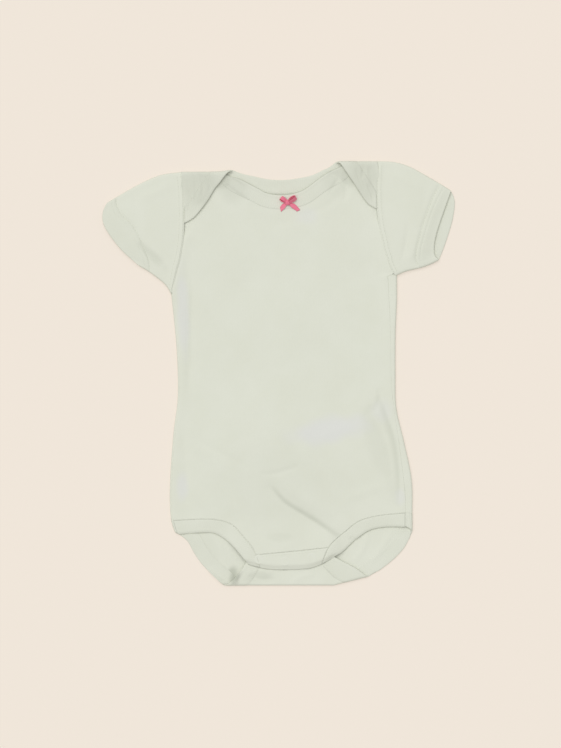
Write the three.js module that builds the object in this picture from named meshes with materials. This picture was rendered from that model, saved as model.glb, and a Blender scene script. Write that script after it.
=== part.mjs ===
// Baby onesie with an envelope neck, lying flat on its back with the front up.
// Millimetres. +X is to the right of the picture, +Y towards the neck and +Z up from the surface.
// The origin lies on the surface, under the middle of the garment.
import * as THREE from 'three';

// Cloth
const jerseyWall = 1.0;
const bindingWall = 1.8;
const hemWall = 2.0;
const crotchHemWall = 1.4;
const bindingWidth = 14;
const sleeveHemDepth = 17;
const seamGap = 0.5;
const legSeamGap = 0.7;
const sideSeamGap = 0.6;
const armholeGap = 0.7;
const clearance = 0.3;

// Radius of the outer face where the cloth folds over
const sideFold = 2.0;
const neckCornerFold = 3.0;
const shoulderTipFold = 2.4;
const crotchFold = 1.9;
const sleeveFold = 2.3;
const arcSteps = 5;

// Height of the front's upper face
const frontHeight = 3.5;
const flapHeight = 7.3;
const bindingRise = 0.4;

// Levels of the underarm points and of the end of the back's crotch flap
const armpitLeft = 75.5;
const armpitRight = 92.5;
const armpitStep = 1.5;
const backFlapEnd = -163;

// Snaps
const snapCapRadius = 4.7;
const snapCapThickness = 0.5;
const socketRadius = 4.1;
const socketHole = 1.9;
const socketThickness = 0.8;
const studRadius = 3.9;
const studThickness = 0.4;
const postRadius = 1.6;
const postHeight = 0.8;

// Ribbon bow
const ribbonWidth = 3.2;
const ribbonThickness = 0.7;
const bowCentre = new THREE.Vector2(8.4, 161.6);
const knotSize = new THREE.Vector3(2.5, 2.3, 1.4);

// Outline of the garment as it lies, each row x, y
const leftSide = curve([
  [-95.6, -157.6], [-99.9, -148], [-102.6, -138], [-103.8, -122], [-103.5, -102], [-100.2, -56],
  [-96.4, -25], [-96.4, 5], [-98.3, 35], [-102.6, 76],
]);
const rightSide = curve([
  [126.4, -158], [126.7, -136], [126.2, -102], [119.3, -67], [111.6, -33], [110.7, 0],
  [110.9, 40], [112.1, 69], [112.1, 93],
]);
const rightSeam = curve([
  [119.4, -158], [119.7, -121], [114.5, -73], [106.9, -16], [105.5, 41], [102.8, 93],
]);
const leftArmhole = curve([
  [-102.7, 74], [-99.3, 86.5], [-96.9, 96.9], [-94.1, 106.4], [-92.2, 116.9], [-90.7, 126.4],
  [-89.9, 143.5], [-89.9, 159.6], [-90.8, 179.6], [-93.2, 194],
]);
const rightArmhole = curve([
  [111.4, 91], [107.9, 95.5], [104.5, 101.7], [102.4, 109.3], [99.8, 117], [97.4, 128.3],
  [95, 138.7], [93.4, 150.1], [92.6, 160], [92.4, 180.5], [93.6, 203],
]);
const shoulderTop = straight([[-110, 191.2], [-56, 191.2], [-44, 192.8], [58, 201], [110, 201.2]]);
const crotchBottom = straight([[-110, -201.8], [52, -201.8], [84.6, -193.2], [100, -188]]);

// Front edges, each row x, y
const frontNeckEdge = curve([
  [-49.4, 187.6], [-38.3, 184.6], [-20, 175.5], [-11.4, 171], [4.8, 169.2], [20.9, 172.9],
  [39, 185.5], [48, 191.4], [62, 197.4],
]);
const frontNeckSeam = curve([
  [-62, 187.6], [-49, 174.6], [-26.7, 163.2], [-15.8, 157.7], [4.8, 155.2], [26.6, 160.1],
  [47.2, 174.2], [62, 182.5], [77, 197.4],
]);
const frontLegEdgeLeft = curve([
  [-93.7, -153], [-62.7, -152], [-54.2, -155.8], [-44.7, -163.4], [-29.5, -181.3],
]);
const frontLegSeamLeft = curve([
  [-97.3, -138.6], [-61.8, -137.8], [-44.7, -142.5], [-34.2, -153], [-22.8, -168], [-17.5, -184.7],
]);
const frontLegEdgeRight = curve([
  [50, -176], [59.9, -170], [72.2, -158.7], [86.5, -149.2], [100.7, -146.3], [119.1, -146.3],
]);
const frontLegSeamRight = curve([
  [39.5, -181.5], [45.6, -165], [52, -158], [62.7, -149.2], [75, -139.7], [91.2, -134.9], [119.4, -131.5],
]);
const crotchHemEdge = curve([
  [-30, -181.2], [-20.9, -183.9], [-7.6, -186.2], [16.2, -186.2], [30.4, -184.8], [39.9, -181.5],
  [50, -176],
]);
const crotchHemStitch = curve([[-26, -171.8], [-19, -171], [44.7, -164.4], [50, -163.8]]);

// Edges of the back: on the lower layer, and where they have turned onto the front, each row x, y
const backNeckRows = [
  [-41, 191.8], [-22.8, 186.6], [-8.6, 183.8], [5.7, 183.4], [20, 185.3], [31.4, 187.9],
  [40.9, 192.4], [50.4, 197.5],
];
const leftLapRows = [
  [-100, 136], [-91.2, 141.5], [-82.1, 146.3], [-74.9, 154], [-67.6, 163.7], [-59.2, 177],
];
const rightLapRows = [[70, 181.5], [78.9, 168], [84.6, 160.5], [94, 155], [104, 151]];
const backLegLeftRows = [
  [-125, -150], [-104, -151.5], [-96, -153], [-87.2, -159.6], [-80.8, -170.8], [-72.8, -182.1],
  [-57.8, -197],
];
const leftFlapRows = [[-38, -190], [-31.4, -179.6], [-24, -163], [-17, -148]];
const rightFlapRows = [[36, -152], [43, -163], [53.2, -174.8], [72.2, -184.8]];
const backLegRightRows = [
  [86.5, -193.3], [96, -187], [106.4, -179], [113.5, -172.3], [119, -165.8], [123.2, -158.4],
  [127.4, -151], [133.9, -146.3], [145, -143],
];

// Large soft folds of the front: rounded rises (x, y, half width, half length, height)
const rises = [
  [16, 62, 62, 66, 1.1],
  [-50, 112, 36, 40, 0.6],
  [62, 118, 32, 34, 0.6],
  [-8, -52, 66, 56, 0.9],
  [68, -70, 34, 44, 0.6],
];
// and troughs (from x, y, to x, y, half width, depth)
const troughs = [
  [-6, -108, 20, -132, 7, 0.8],
  [20, -132, 56, -158, 6, 1.1],
  [88, -39, 105, -64, 6, 0.8],
  [105, -64, 113, -112, 5, 0.9],
  [-86, 90, -86, -12, 6, 0.5],
];

// Line through rows of x, y, with corners
function straight(rows) {
  return rows.map(([x, y]) => new THREE.Vector3(x, y, 0));
}

// Smooth line through rows of x, y, as points
function curve(rows, steps = 160) {
  return new THREE.CatmullRomCurve3(straight(rows), false, 'centripetal').getSpacedPoints(steps);
}

// Reads one coordinate of a line where it passes a value of the other
function reading(points, from, to) {
  const line = [...points].sort((a, b) => a[from] - b[from]);
  return (value) => {
    let k = 1;
    while (k < line.length - 1 && line[k][from] < value) k += 1;
    const share = (value - line[k - 1][from]) / (line[k][from] - line[k - 1][from]);
    return THREE.MathUtils.lerp(line[k - 1][to], line[k][to], THREE.MathUtils.clamp(share, 0, 1));
  };
}

// The same line moved sideways: to its left for a positive distance
function moved(points, distance) {
  return points.map((point, k) => {
    const before = points[Math.max(k - 1, 0)];
    const after = points[Math.min(k + 1, points.length - 1)];
    const along = after.clone().sub(before).normalize();
    return new THREE.Vector3(point.x - along.y * distance, point.y + along.x * distance, 0);
  });
}

// Point at a share of a line's length
function pointAt(points, share) {
  const place = share * (points.length - 1);
  const k = Math.min(Math.floor(place), points.length - 2);
  return points[k].clone().lerp(points[k + 1], place - k);
}

const { lerp, clamp, smoothstep } = THREE.MathUtils;
const spaced = (from, to, count) => Array.from({ length: count + 1 }, (_, k) => lerp(from, to, k / count));
const leftSideX = reading(leftSide, 'y', 'x');
const rightSideX = reading(rightSide, 'y', 'x');
const rightSeamX = reading(rightSeam, 'y', 'x');
const leftArmholeX = reading(leftArmhole, 'y', 'x');
const rightArmholeX = reading(rightArmhole, 'y', 'x');
const shoulderY = reading(shoulderTop, 'x', 'y');
const crotchY = reading(crotchBottom, 'x', 'y');

// Radius and start of the shoulder fold, and start of the crotch fold
function shoulderRadius(x) {
  const towardsTip = x < 0 ? smoothstep(-x, 72, 91) : smoothstep(x, 82, 96);
  return lerp(neckCornerFold, shoulderTipFold, towardsTip);
}
const shoulderStart = (x) => shoulderY(x) - shoulderRadius(x);
const crotchStart = (x) => crotchY(x) + crotchFold;

// Where a point that has turned onto the front lies when the back is opened out flat
const openedAtShoulder = ([x, y]) => [x, 2 * shoulderStart(x) + Math.PI * shoulderRadius(x) - y];
const openedAtCrotch = ([x, y]) => [x, 2 * crotchStart(x) - Math.PI * crotchFold - y];

// Cut edges and seams of the back, opened out flat
const neckEdge = curve([
  ...leftLapRows.map(openedAtShoulder),
  ...backNeckRows,
  ...rightLapRows.map(openedAtShoulder),
]);
const legEdgeLeft = curve([...backLegLeftRows, ...leftFlapRows.map(openedAtCrotch)]);
const legEdgeRight = curve([...rightFlapRows.map(openedAtCrotch), ...backLegRightRows]);
const seamOf = (edge, side, extra) => reading(moved(edge, side * (bindingWidth + extra)), 'x', 'y');
const neckEdgeY = reading(neckEdge, 'x', 'y');
const legEdgeLeftY = reading(legEdgeLeft, 'x', 'y');
const legEdgeRightY = reading(legEdgeRight, 'x', 'y');
const backFlapEndY = (x) => openedAtCrotch([x, backFlapEnd])[1];

// A closed wall between matching outer and inner points. A cell is left out where cellUsed says no.
function closedSheet(outer, inner, facesDown, cellUsed = () => true) {
  const known = new Map();
  const outerPoints = [];
  const innerPoints = [];
  const ids = outer.map((column, i) => column.map((point, j) => {
    const key = point.toArray().map((value) => value.toFixed(3)).join(' ');
    if (!known.has(key)) {
      known.set(key, outerPoints.length);
      outerPoints.push(point);
      innerPoints.push(inner[i][j]);
    }
    return known.get(key);
  }));
  const faces = [];
  const addFace = (a, b, c) => {
    if (a === b || b === c || c === a) return;
    faces.push(facesDown ? [c, b, a] : [a, b, c]);
  };
  for (let i = 0; i + 1 < ids.length; i += 1) {
    for (let j = 0; j + 1 < ids[i].length; j += 1) {
      if (!cellUsed(i, j)) continue;
      addFace(ids[i][j], ids[i + 1][j], ids[i + 1][j + 1]);
      addFace(ids[i][j], ids[i + 1][j + 1], ids[i][j + 1]);
    }
  }
  const count = outerPoints.length;
  const directed = new Set(faces.flatMap(([a, b, c]) => [`${a}>${b}`, `${b}>${c}`, `${c}>${a}`]));
  const index = [];
  faces.forEach(([a, b, c]) => {
    index.push(a, b, c, c + count, b + count, a + count);
    [[a, b], [b, c], [c, a]].forEach(([p, q]) => {
      if (directed.has(`${q}>${p}`)) return;
      index.push(q, p, p + count, q, p + count, q + count);
    });
  });
  const geometry = new THREE.BufferGeometry().setFromPoints([...outerPoints, ...innerPoints]);
  geometry.setIndex(index);
  return geometry;
}

// The back: columns run across it, from the rolled left side to the rolled right side
const backLeftX = (y) => (y <= armpitLeft + 0.1 ? leftSideX(y) + sideFold : leftArmholeX(y));
const backRightX = (y) => (y <= armpitRight + 0.1 ? rightSideX(y) - sideFold : rightArmholeX(y));

// Turns a length s past the start of a fold into how far out it still reaches, its height and its facing
function aroundFold(s, radius) {
  const angle = Math.min(Math.max(s, 0) / radius, Math.PI);
  const past = Math.max(s - Math.PI * radius, 0);
  return {
    out: radius * Math.sin(angle) - past,
    height: radius * (1 - Math.cos(angle)),
    facingOut: Math.sin(angle),
    facingUp: -Math.cos(angle),
  };
}

// Place and facing of a point of the back that lies at height y on the cloth when it is opened out flat
function backPlace(column, y) {
  let x = lerp(backLeftX(0), backRightX(0), column.u);
  let fold = aroundFold(0, 1);
  let placeY = y;
  let way = 0;
  for (let pass = 0; pass < 5; pass += 1) {
    const top = shoulderStart(x);
    const bottom = crotchStart(x);
    if (y > top) {
      way = 1;
      fold = aroundFold(y - top, shoulderRadius(x));
      placeY = top + fold.out;
    } else if (y < bottom) {
      way = -1;
      fold = aroundFold(bottom - y, crotchFold);
      placeY = bottom - fold.out;
    } else {
      way = 0;
      fold = aroundFold(0, 1);
      placeY = y;
    }
    x = lerp(backLeftX(placeY), backRightX(placeY), column.u);
  }
  if (column.side === 0) {
    return {
      point: new THREE.Vector3(x, placeY, fold.height),
      facing: new THREE.Vector3(0, way * fold.facingOut, fold.facingUp),
      cutX: x,
    };
  }
  const flat = column.side > 0 ? Math.max(rightSideX(y) - sideFold - rightSeamX(y), 0) : 0;
  const length = column.turned * Math.PI * sideFold + column.beyond * flat;
  const roll = aroundFold(length, sideFold);
  return {
    point: new THREE.Vector3(x + column.side * roll.out, y, roll.height),
    facing: new THREE.Vector3(column.side * roll.facingOut, 0, roll.facingUp),
    cutX: x + column.side * length,
  };
}

// Columns of the back and of the front, at x across the crotch. Pieces that meet share them.
const backPlaces = [
  -94, -86, -78, -73, -69, -65, -61, -57, -53, -49, -45, -41, -37, -33, -29, -20, -11, 1, 11, 21,
  31, 43, 52, 56, 58, 60, 62, 64, 66, 69, 74, 78, 82, 86, 90, 92, 94, 96, 98, 100, 102, 106, 114, 123.4,
];
const frontPlaces = [
  -93.4, -80, -68, -58.6, -52, -45, -39, -34, -29, -25.5, -22.5, -20, -17.5, -8, 2, 12, 22, 32,
  39.5, 42.5, 46, 51, 57, 63, 69, 76, 86, 96.8, 108, 118.8,
];
function sharesBetween(places, from, to) {
  const width = places[places.length - 1] - places[0];
  return places.filter((x) => x >= from && x <= to).map((x) => (x - places[0]) / width);
}

// Columns of a piece of the back, with the rolls of the sides where it has them
function backColumns(from, to, rolls) {
  const middle = sharesBetween(backPlaces, from, to).map((u) => ({ u, side: 0 }));
  const roll = spaced(0, 1, arcSteps).slice(1).map((turned) => ({ turned, beyond: 0 }));
  const leftRoll = roll.map((part) => ({ ...part, u: 0, side: -1 })).reverse();
  const rightRoll = [...roll, { turned: 1, beyond: 1 }].map((part) => ({ ...part, u: 1, side: 1 }));
  return [...(rolls.left ? leftRoll : []), ...middle, ...(rolls.right ? rightRoll : [])];
}

// Levels up the back: crotch flap, crotch fold, hip to underarm, underarm to shoulder, shoulder fold, lap
const flapSteps = [27, 18, 9];
const lapSteps = [9, 18, 28, 39, 52];
const lowerRows = 9;
const upperRows = 5;
function backLevels(column) {
  const middle = backPlace(column, 0).point.x;
  const top = shoulderStart(middle);
  const topRadius = shoulderRadius(middle);
  const bottom = crotchStart(middle);
  const armpit = lerp(armpitLeft, armpitRight, column.u);
  const levels = flapSteps.map((step) => bottom - Math.PI * crotchFold - step);
  for (let k = arcSteps; k >= 1; k -= 1) levels.push(bottom - (Math.PI * crotchFold * k) / arcSteps);
  for (let k = 0; k <= lowerRows; k += 1) levels.push(lerp(bottom, armpit, k / lowerRows));
  for (let k = 0; k <= upperRows; k += 1) levels.push(lerp(armpit + armpitStep, top, k / upperRows));
  for (let k = 1; k <= arcSteps; k += 1) levels.push(top + (Math.PI * topRadius * k) / arcSteps);
  lapSteps.forEach((step) => levels.push(top + Math.PI * topRadius + step));
  return levels;
}
const armpitRow = flapSteps.length + arcSteps + lowerRows;

// Finds the level at which a column of the back crosses a cut line, given as y for each x
function crossing(column, line) {
  let y = 0;
  for (let pass = 0; pass < 12; pass += 1) y = lerp(y, line(backPlace(column, y).cutX), 0.8);
  return y;
}

// One piece of the back, between a lower and an upper cut line
const snapLevel = 0.7;
function backSheet(columns, lowLine, highLine, wall) {
  const outer = [];
  const inner = [];
  columns.forEach((column) => {
    const low = crossing(column, lowLine);
    const high = Math.max(crossing(column, highLine), low);
    const placed = backLevels(column).map((level, k, levels) => {
      let y = clamp(level, low, high);
      if (k === 0 || y - low < snapLevel) y = low;
      if (k === levels.length - 1 || high - y < snapLevel) y = high;
      return backPlace(column, column.side === 0 ? y : Math.min(y, levels[armpitRow]));
    });
    outer.push(placed.map(({ point }) => point));
    inner.push(placed.map(({ point, facing }) => point.clone().addScaledVector(facing, -wall)));
  });
  const rolled = (i) => columns[i].side !== 0 || columns[i + 1].side !== 0;
  return closedSheet(outer, inner, true, (i, j) => !rolled(i) || j < armpitRow);
}

function backBody() {
  const neckSeam = seamOf(neckEdge, -1, seamGap / 2);
  const legLeft = seamOf(legEdgeLeft, 1, legSeamGap / 2);
  const legRight = seamOf(legEdgeRight, 1, legSeamGap / 2);
  const bottom = (x) => Math.max(backFlapEndY(x), x < 20 ? legLeft(x) : legRight(x));
  return backSheet(backColumns(-94, 124, { left: true, right: true }), bottom, neckSeam, jerseyWall);
}

function neckBindingBack() {
  const seam = seamOf(neckEdge, -1, -seamGap / 2);
  return backSheet(backColumns(-94, 124, {}), seam, neckEdgeY, bindingWall);
}

function legBindingBack(left) {
  const edgeY = left ? legEdgeLeftY : legEdgeRightY;
  const seam = seamOf(left ? legEdgeLeft : legEdgeRight, 1, -legSeamGap / 2);
  const low = (x) => Math.max(edgeY(x), backFlapEndY(x));
  const columns = left ? backColumns(-94, -11, { left }) : backColumns(31, 124, { right: true });
  return backSheet(columns, low, seam, bindingWall);
}

// The front: height of its upper face
const leftLapY = reading(curve(leftLapRows), 'x', 'y');
const rightLapY = reading(curve(rightLapRows), 'x', 'y');
function frontTop(x, y) {
  let height = frontHeight;
  rises.forEach(([cx, cy, halfWidth, halfLength, rise]) => {
    const far = Math.hypot((x - cx) / halfWidth, (y - cy) / halfLength);
    if (far < 1) height += rise * (0.5 + 0.5 * Math.cos(Math.PI * far));
  });
  const dips = troughs.map(([x1, y1, x2, y2, halfWidth, depth]) => {
    const from = new THREE.Vector2(x1, y1);
    const along = new THREE.Vector2(x2, y2).sub(from);
    const share = clamp(new THREE.Vector2(x, y).sub(from).dot(along) / along.lengthSq(), 0, 1);
    const far = from.clone().addScaledVector(along, share).distanceTo(new THREE.Vector2(x, y));
    return depth * Math.exp(-((far / halfWidth) ** 2));
  });
  height -= Math.max(...dips);
  const lapY = x < 0 ? leftLapY(x) : rightLapY(x);
  const underLap = (x < -49 || x > 62) ? smoothstep(y, lapY - 16, lapY - 2) : 0;
  const lapLimit = 2 * shoulderRadius(x) - bindingWall - bindingRise - clearance - 0.05;
  height = lerp(height, Math.min(height, lapLimit), underLap);
  const acrossFlap = x < 0 ? smoothstep(x, -66, -40) : 1 - smoothstep(x, 50, 78);
  return lerp(height, flapHeight, smoothstep(-y, 134, 170) * acrossFlap);
}

const frontLeftX = (y) => (y <= armpitLeft + 0.1 ? leftSideX(y) + sideFold + sideSeamGap : leftArmholeX(y));
const frontRightX = (y) => (y <= armpitRight + 0.1 ? rightSeamX(y) - sideSeamGap : rightArmholeX(y));

// One piece of the front, between a lower and an upper line given as y for each x.
// Its upper face is moved out by rise, and its wall goes straight down.
function frontSheet(columns, lowLine, highLine, levels, wall, rise) {
  const outer = columns.map((u) => {
    const xAt = (y) => lerp(frontLeftX(y), frontRightX(y), u);
    let low = -140;
    let high = 190;
    for (let pass = 0; pass < 10; pass += 1) {
      low = lowLine(xAt(low));
      high = Math.max(highLine(xAt(high)), low);
    }
    return levels(low, high, u).map((y) => new THREE.Vector3(xAt(y), y, frontTop(xAt(y), y) + rise));
  });
  const inner = outer.map((column) => column.map((p) => new THREE.Vector3(p.x, p.y, p.z - wall)));
  return closedSheet(outer, inner, false);
}

const neckSeamY = reading(frontNeckSeam, 'x', 'y');
const neckEdgeFrontY = reading(frontNeckEdge, 'x', 'y');
const legEdgeY = [reading(frontLegEdgeLeft, 'x', 'y'), reading(frontLegEdgeRight, 'x', 'y')];
const legSeamY = [reading(frontLegSeamLeft, 'x', 'y'), reading(frontLegSeamRight, 'x', 'y')];
const hemEdgeY = reading(crotchHemEdge, 'x', 'y');
const hemStitchY = reading(crotchHemStitch, 'x', 'y');
const crotchMiddle = 11;
const legSeamAt = (x) => (x < crotchMiddle ? legSeamY[0](x) : legSeamY[1](x));
const shoulderLimit = (x) => shoulderStart(x) - clearance;
const neckSeamEnds = { left: -62.3, right: 77.3 };
const neckEdgeEnds = { left: -49.4, right: 62 };
const legEdgeEnds = { left: -29.5, right: 50 };

function frontBody() {
  const lower = 12;
  const upper = 7;
  const beyondNeck = (x) => x < neckSeamEnds.left || x > neckSeamEnds.right;
  const topLine = (x) => Math.min(shoulderLimit(x), beyondNeck(x) ? Infinity : neckSeamY(x) - seamGap);
  const bottomLine = (x) => Math.max(legSeamAt(x), hemStitchY(x)) + seamGap;
  const levels = (low, high, u) => {
    const armpit = lerp(armpitLeft, armpitRight, u);
    return [...spaced(low, armpit, lower), ...spaced(armpit + armpitStep, high, upper)];
  };
  return frontSheet(sharesBetween(frontPlaces, -94, 120), bottomLine, topLine, levels, jerseyWall, 0);
}

const evenly = (count) => (low, high) => spaced(low, high, count);

function neckBindingFront() {
  const high = (x) => {
    const beyondEdge = x < neckEdgeEnds.left || x > neckEdgeEnds.right;
    return beyondEdge ? shoulderLimit(x) : Math.min(neckEdgeFrontY(x), shoulderLimit(x));
  };
  const columns = sharesBetween(frontPlaces, -59, 97);
  return frontSheet(columns, neckSeamY, high, evenly(3), bindingWall, bindingRise);
}

function legBindingFront(side) {
  const onLeg = (x) => (side === 0 ? x < legEdgeEnds.left : x > legEdgeEnds.right);
  const low = (x) => (onLeg(x) ? legEdgeY[side](x) : hemEdgeY(x));
  const columns = side === 0 ? sharesBetween(frontPlaces, -94, -17) : sharesBetween(frontPlaces, 39, 120);
  return frontSheet(columns, low, legSeamY[side], evenly(3), bindingWall, bindingRise);
}

function crotchHem() {
  const low = (x) => Math.max(legSeamAt(x) + seamGap, hemEdgeY(x));
  return frontSheet(sharesBetween(frontPlaces, -21, 43), low, hemStitchY, evenly(3), crotchHemWall, 0);
}

// The sleeves, each row x, y: top and underarm run out from the armhole, the openings run down
function sleeveOf(armholeX, side, from, to, rows) {
  const armhole = straight(spaced(from, to, 40).map((y) => [armholeX(y) + side * armholeGap, y]));
  return {
    armhole,
    top: curve([[armhole[0].x, from], ...rows.top]),
    under: curve([[armhole[40].x, to], ...rows.under]),
    frontOpening: curve(rows.frontOpening),
    backOpening: curve(rows.backOpening),
    topLength: 74,
    underLength: 42,
    facesDown: side < 0,
  };
}
const leftSleeve = sleeveOf(leftArmholeX, -1, 191, 76, {
  top: [[-113, 187.8], [-132, 179.6], [-151, 169], [-163.4, 161.5]],
  under: [[-107.6, 83.2], [-118.5, 92.4], [-126.5, 98], [-133, 101.7]],
  frontOpening: [[-163.4, 161.5], [-167.2, 153], [-166.7, 141.6], [-151.5, 118.8], [-133, 101.7]],
  backOpening: [[-163.4, 161.5], [-166.8, 152], [-165, 140.6], [-150, 119.8], [-133, 101.7]],
});
const rightSleeve = sleeveOf(rightArmholeX, 1, 201.2, 93.4, {
  top: [[110, 200.2], [124.5, 195.7], [138.7, 188], [153, 179.6], [163.4, 173]],
  under: [[119.7, 96], [134, 99.6], [143, 102.7], [152, 107.2]],
  frontOpening: [[163.4, 173], [158.7, 159.6], [153, 143.5], [150, 134], [147.3, 121.6], [152, 107.2]],
  backOpening: [[163.4, 173], [166.8, 164], [165.2, 147], [160.4, 130], [156.4, 118.4], [152, 107.2]],
});

// A smooth patch between four lines: t runs out along the sleeve, w down across it
function patchPoint(sleeve, opening, t, w) {
  const corner = (line, share, weight) => pointAt(line, share).multiplyScalar(weight);
  return corner(sleeve.armhole, w, 1 - t)
    .add(corner(opening, w, t))
    .add(corner(sleeve.top, t, 1 - w))
    .add(corner(sleeve.under, t, w))
    .sub(corner(sleeve.armhole, 0, (1 - t) * (1 - w)))
    .sub(corner(sleeve.armhole, 1, (1 - t) * w))
    .sub(corner(opening, 0, t * (1 - w)))
    .sub(corner(opening, 1, t * w));
}

// An open flattened tube, whose wall doubles where the hem is turned in
function sleeveTube(sleeve) {
  const flatSteps = 7;
  const angles = spaced(0, Math.PI, arcSteps).slice(1, -1);
  const flats = spaced(0, 1, flatSteps);
  const ring = [
    ...flats.map((flat) => ({ front: true, flat })),
    ...angles.map((angle) => ({ front: angle < Math.PI / 2, end: 1, angle })),
    ...flats.map((flat) => ({ front: false, flat: 1 - flat })),
    ...angles.map((angle) => ({ front: angle > Math.PI / 2, end: 0, angle: Math.PI - angle })),
  ];
  ring.push(ring[0]);
  const stations = [
    { part: 0, wall: jerseyWall }, { part: 0.25, wall: jerseyWall }, { part: 0.5, wall: jerseyWall },
    { part: 0.75, wall: jerseyWall }, { part: 1, wall: jerseyWall },
    { hem: 0.06, wall: hemWall }, { hem: 0.5, wall: hemWall }, { hem: 1, wall: hemWall },
  ];
  const place = (step, station, depth) => {
    const radius = sleeveFold - depth;
    const opening = step.front ? sleeve.frontOpening : sleeve.backOpening;
    const share = step.flat ?? step.end;
    const hemStart = 1 - sleeveHemDepth / lerp(sleeve.topLength, sleeve.underLength, share);
    const t = station.hem === undefined ? station.part * hemStart : lerp(hemStart, 1, station.hem);
    const height = pointAt(sleeve.top, t).distanceTo(pointAt(sleeve.under, t));
    const inset = sleeveFold / height;
    const level = step.flat === undefined ? Math.cos(step.angle) : (step.front ? 1 : -1);
    const reach = step.flat === undefined ? (radius / height) * Math.sin(step.angle) : 0;
    const w = lerp(inset, 1 - inset, share) + (step.end === 0 ? -reach : reach);
    const point = patchPoint(sleeve, opening, t, w);
    return new THREE.Vector3(point.x, point.y, sleeveFold + radius * level);
  };
  const outer = ring.map((step) => stations.map((station) => place(step, station, 0)));
  const inner = ring.map((step) => stations.map((station) => place(step, station, station.wall)));
  outer[ring.length - 1] = outer[0];
  inner[ring.length - 1] = inner[0];
  return closedSheet(outer, inner, sleeve.facesDown);
}

// Turned disc from a profile of radius and height pairs
function turned(profile) {
  const points = profile.map(([radius, height]) => new THREE.Vector2(radius, height));
  const geometry = new THREE.LatheGeometry(points, 16);
  geometry.rotateX(Math.PI / 2);
  return geometry;
}

// Snaps: cap on the front flap, socket under it and stud on the back flap, each row name, x, y
const snaps = [
  ['left', -19, -176.6],
  ['middle', 5.8, -178.4],
  ['right', 31, -174.6],
];
const snapCap = () => turned([
  [0, 0], [snapCapRadius, 0], [snapCapRadius, 0.15], [4.3, 0.4], [3.6, snapCapThickness], [3.0, 0.35],
  [2.6, 0.15], [0, 0.15],
]);
const snapSocket = () => turned([
  [socketHole, 0], [socketRadius, 0], [socketRadius, socketThickness], [socketHole, socketThickness],
  [socketHole, 0],
]);
const snapStud = () => turned([
  [0, 0], [studRadius, 0], [studRadius, studThickness], [postRadius, studThickness],
  [postRadius, studThickness + postHeight / 2], [postRadius - 0.3, studThickness + postHeight],
  [0, studThickness + postHeight],
]);

// Bow loop: a flat ring of ribbon lying along +X
function bowLoop(length) {
  const halfHeight = 1.25;
  const start = knotSize.x + clearance;
  const middle = start + length / 2;
  const shape = new THREE.Shape();
  shape.absellipse(middle, 0, length / 2, halfHeight, 0, Math.PI * 2);
  const hole = new THREE.Path();
  const holeLength = length - 2 * ribbonThickness;
  hole.absellipse(middle, 0, holeLength / 2, halfHeight - ribbonThickness * 0.8, 0, Math.PI * 2);
  shape.holes.push(hole);
  const settings = { depth: ribbonWidth, bevelEnabled: false, curveSegments: 8 };
  const geometry = new THREE.ExtrudeGeometry(shape, settings);
  geometry.translate(0, 0, -ribbonWidth / 2);
  geometry.rotateX(Math.PI / 2);
  return geometry;
}

// Bow tail: a curved strip of ribbon with a slanted end, lying along +X and bending down
function bowTail(length, bend) {
  const start = knotSize.x + clearance;
  const half = ribbonWidth / 2;
  const end = start + length;
  const shape = new THREE.Shape();
  shape.moveTo(start, half * 0.6);
  shape.quadraticCurveTo(start + length * 0.6, half, end, half - bend);
  shape.lineTo(end - 2.2, -half - bend * 0.7);
  shape.quadraticCurveTo(start + length * 0.4, -half, start, -half * 0.6);
  shape.closePath();
  const settings = { depth: ribbonThickness, bevelEnabled: false, curveSegments: 6 };
  return new THREE.ExtrudeGeometry(shape, settings);
}

// Materials
const material = (color, roughness) => new THREE.MeshStandardMaterial({ color, roughness });
const jersey = () => material('#dddfd1', 0.95);
const rib = () => material('#dcded0', 0.95);
const ribbon = () => material('#c86c7a', 0.6);
const snapShell = () => material('#dfdfd3', 0.45);

const onesie = new THREE.Group();
function add(name, geometry, finish, place = [0, 0, 0], turn = [0, 0, 0]) {
  const mesh = new THREE.Mesh(geometry, finish);
  mesh.name = name;
  mesh.position.set(...place);
  mesh.rotation.set(...turn, 'ZYX');
  onesie.add(mesh);
}

add('back_body', backBody(), jersey());
add('front_body', frontBody(), jersey());
add('sleeve_left', sleeveTube(leftSleeve), jersey());
add('sleeve_right', sleeveTube(rightSleeve), jersey());
add('neck_binding_back', neckBindingBack(), rib());
add('leg_binding_back_left', legBindingBack(true), rib());
add('leg_binding_back_right', legBindingBack(false), rib());
add('neck_binding_front', neckBindingFront(), rib());
add('leg_binding_front_left', legBindingFront(0), rib());
add('leg_binding_front_right', legBindingFront(1), rib());
add('crotch_hem_front', crotchHem(), jersey());

const capZ = flapHeight + bindingRise + clearance;
const socketZ = flapHeight - crotchHemWall - clearance - socketThickness;
const studZ = 2 * crotchFold + clearance;
snaps.forEach(([name, x, y]) => {
  add(`snap_cap_${name}`, snapCap(), snapShell(), [x, y, capZ]);
  add(`snap_socket_${name}`, snapSocket(), snapShell(), [x, y, socketZ]);
  add(`snap_stud_${name}`, snapStud(), snapShell(), [x, y, studZ]);
});

const bowZ = frontHeight + bindingRise + clearance;
const turns = (degrees) => THREE.MathUtils.degToRad(degrees);
const bowAt = (z) => [bowCentre.x, bowCentre.y, z];
const bowKnot = new THREE.SphereGeometry(1, 12, 8).scale(...knotSize.toArray());
add('bow_knot', bowKnot, ribbon(), bowAt(bowZ + knotSize.z));
add('bow_loop_left', bowLoop(5.6), ribbon(), bowAt(bowZ + 1.3), [0, 0, turns(142)]);
add('bow_loop_right', bowLoop(7.0), ribbon(), bowAt(bowZ + 2.1), [turns(40), 0, turns(36)]);
add('bow_tail_left', bowTail(8.2, 0.2), ribbon(), bowAt(bowZ), [0, 0, turns(224)]);
add('bow_tail_right', bowTail(10.6, 2.2), ribbon(), bowAt(bowZ), [0, 0, turns(-26)]);

export default onesie;
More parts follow.
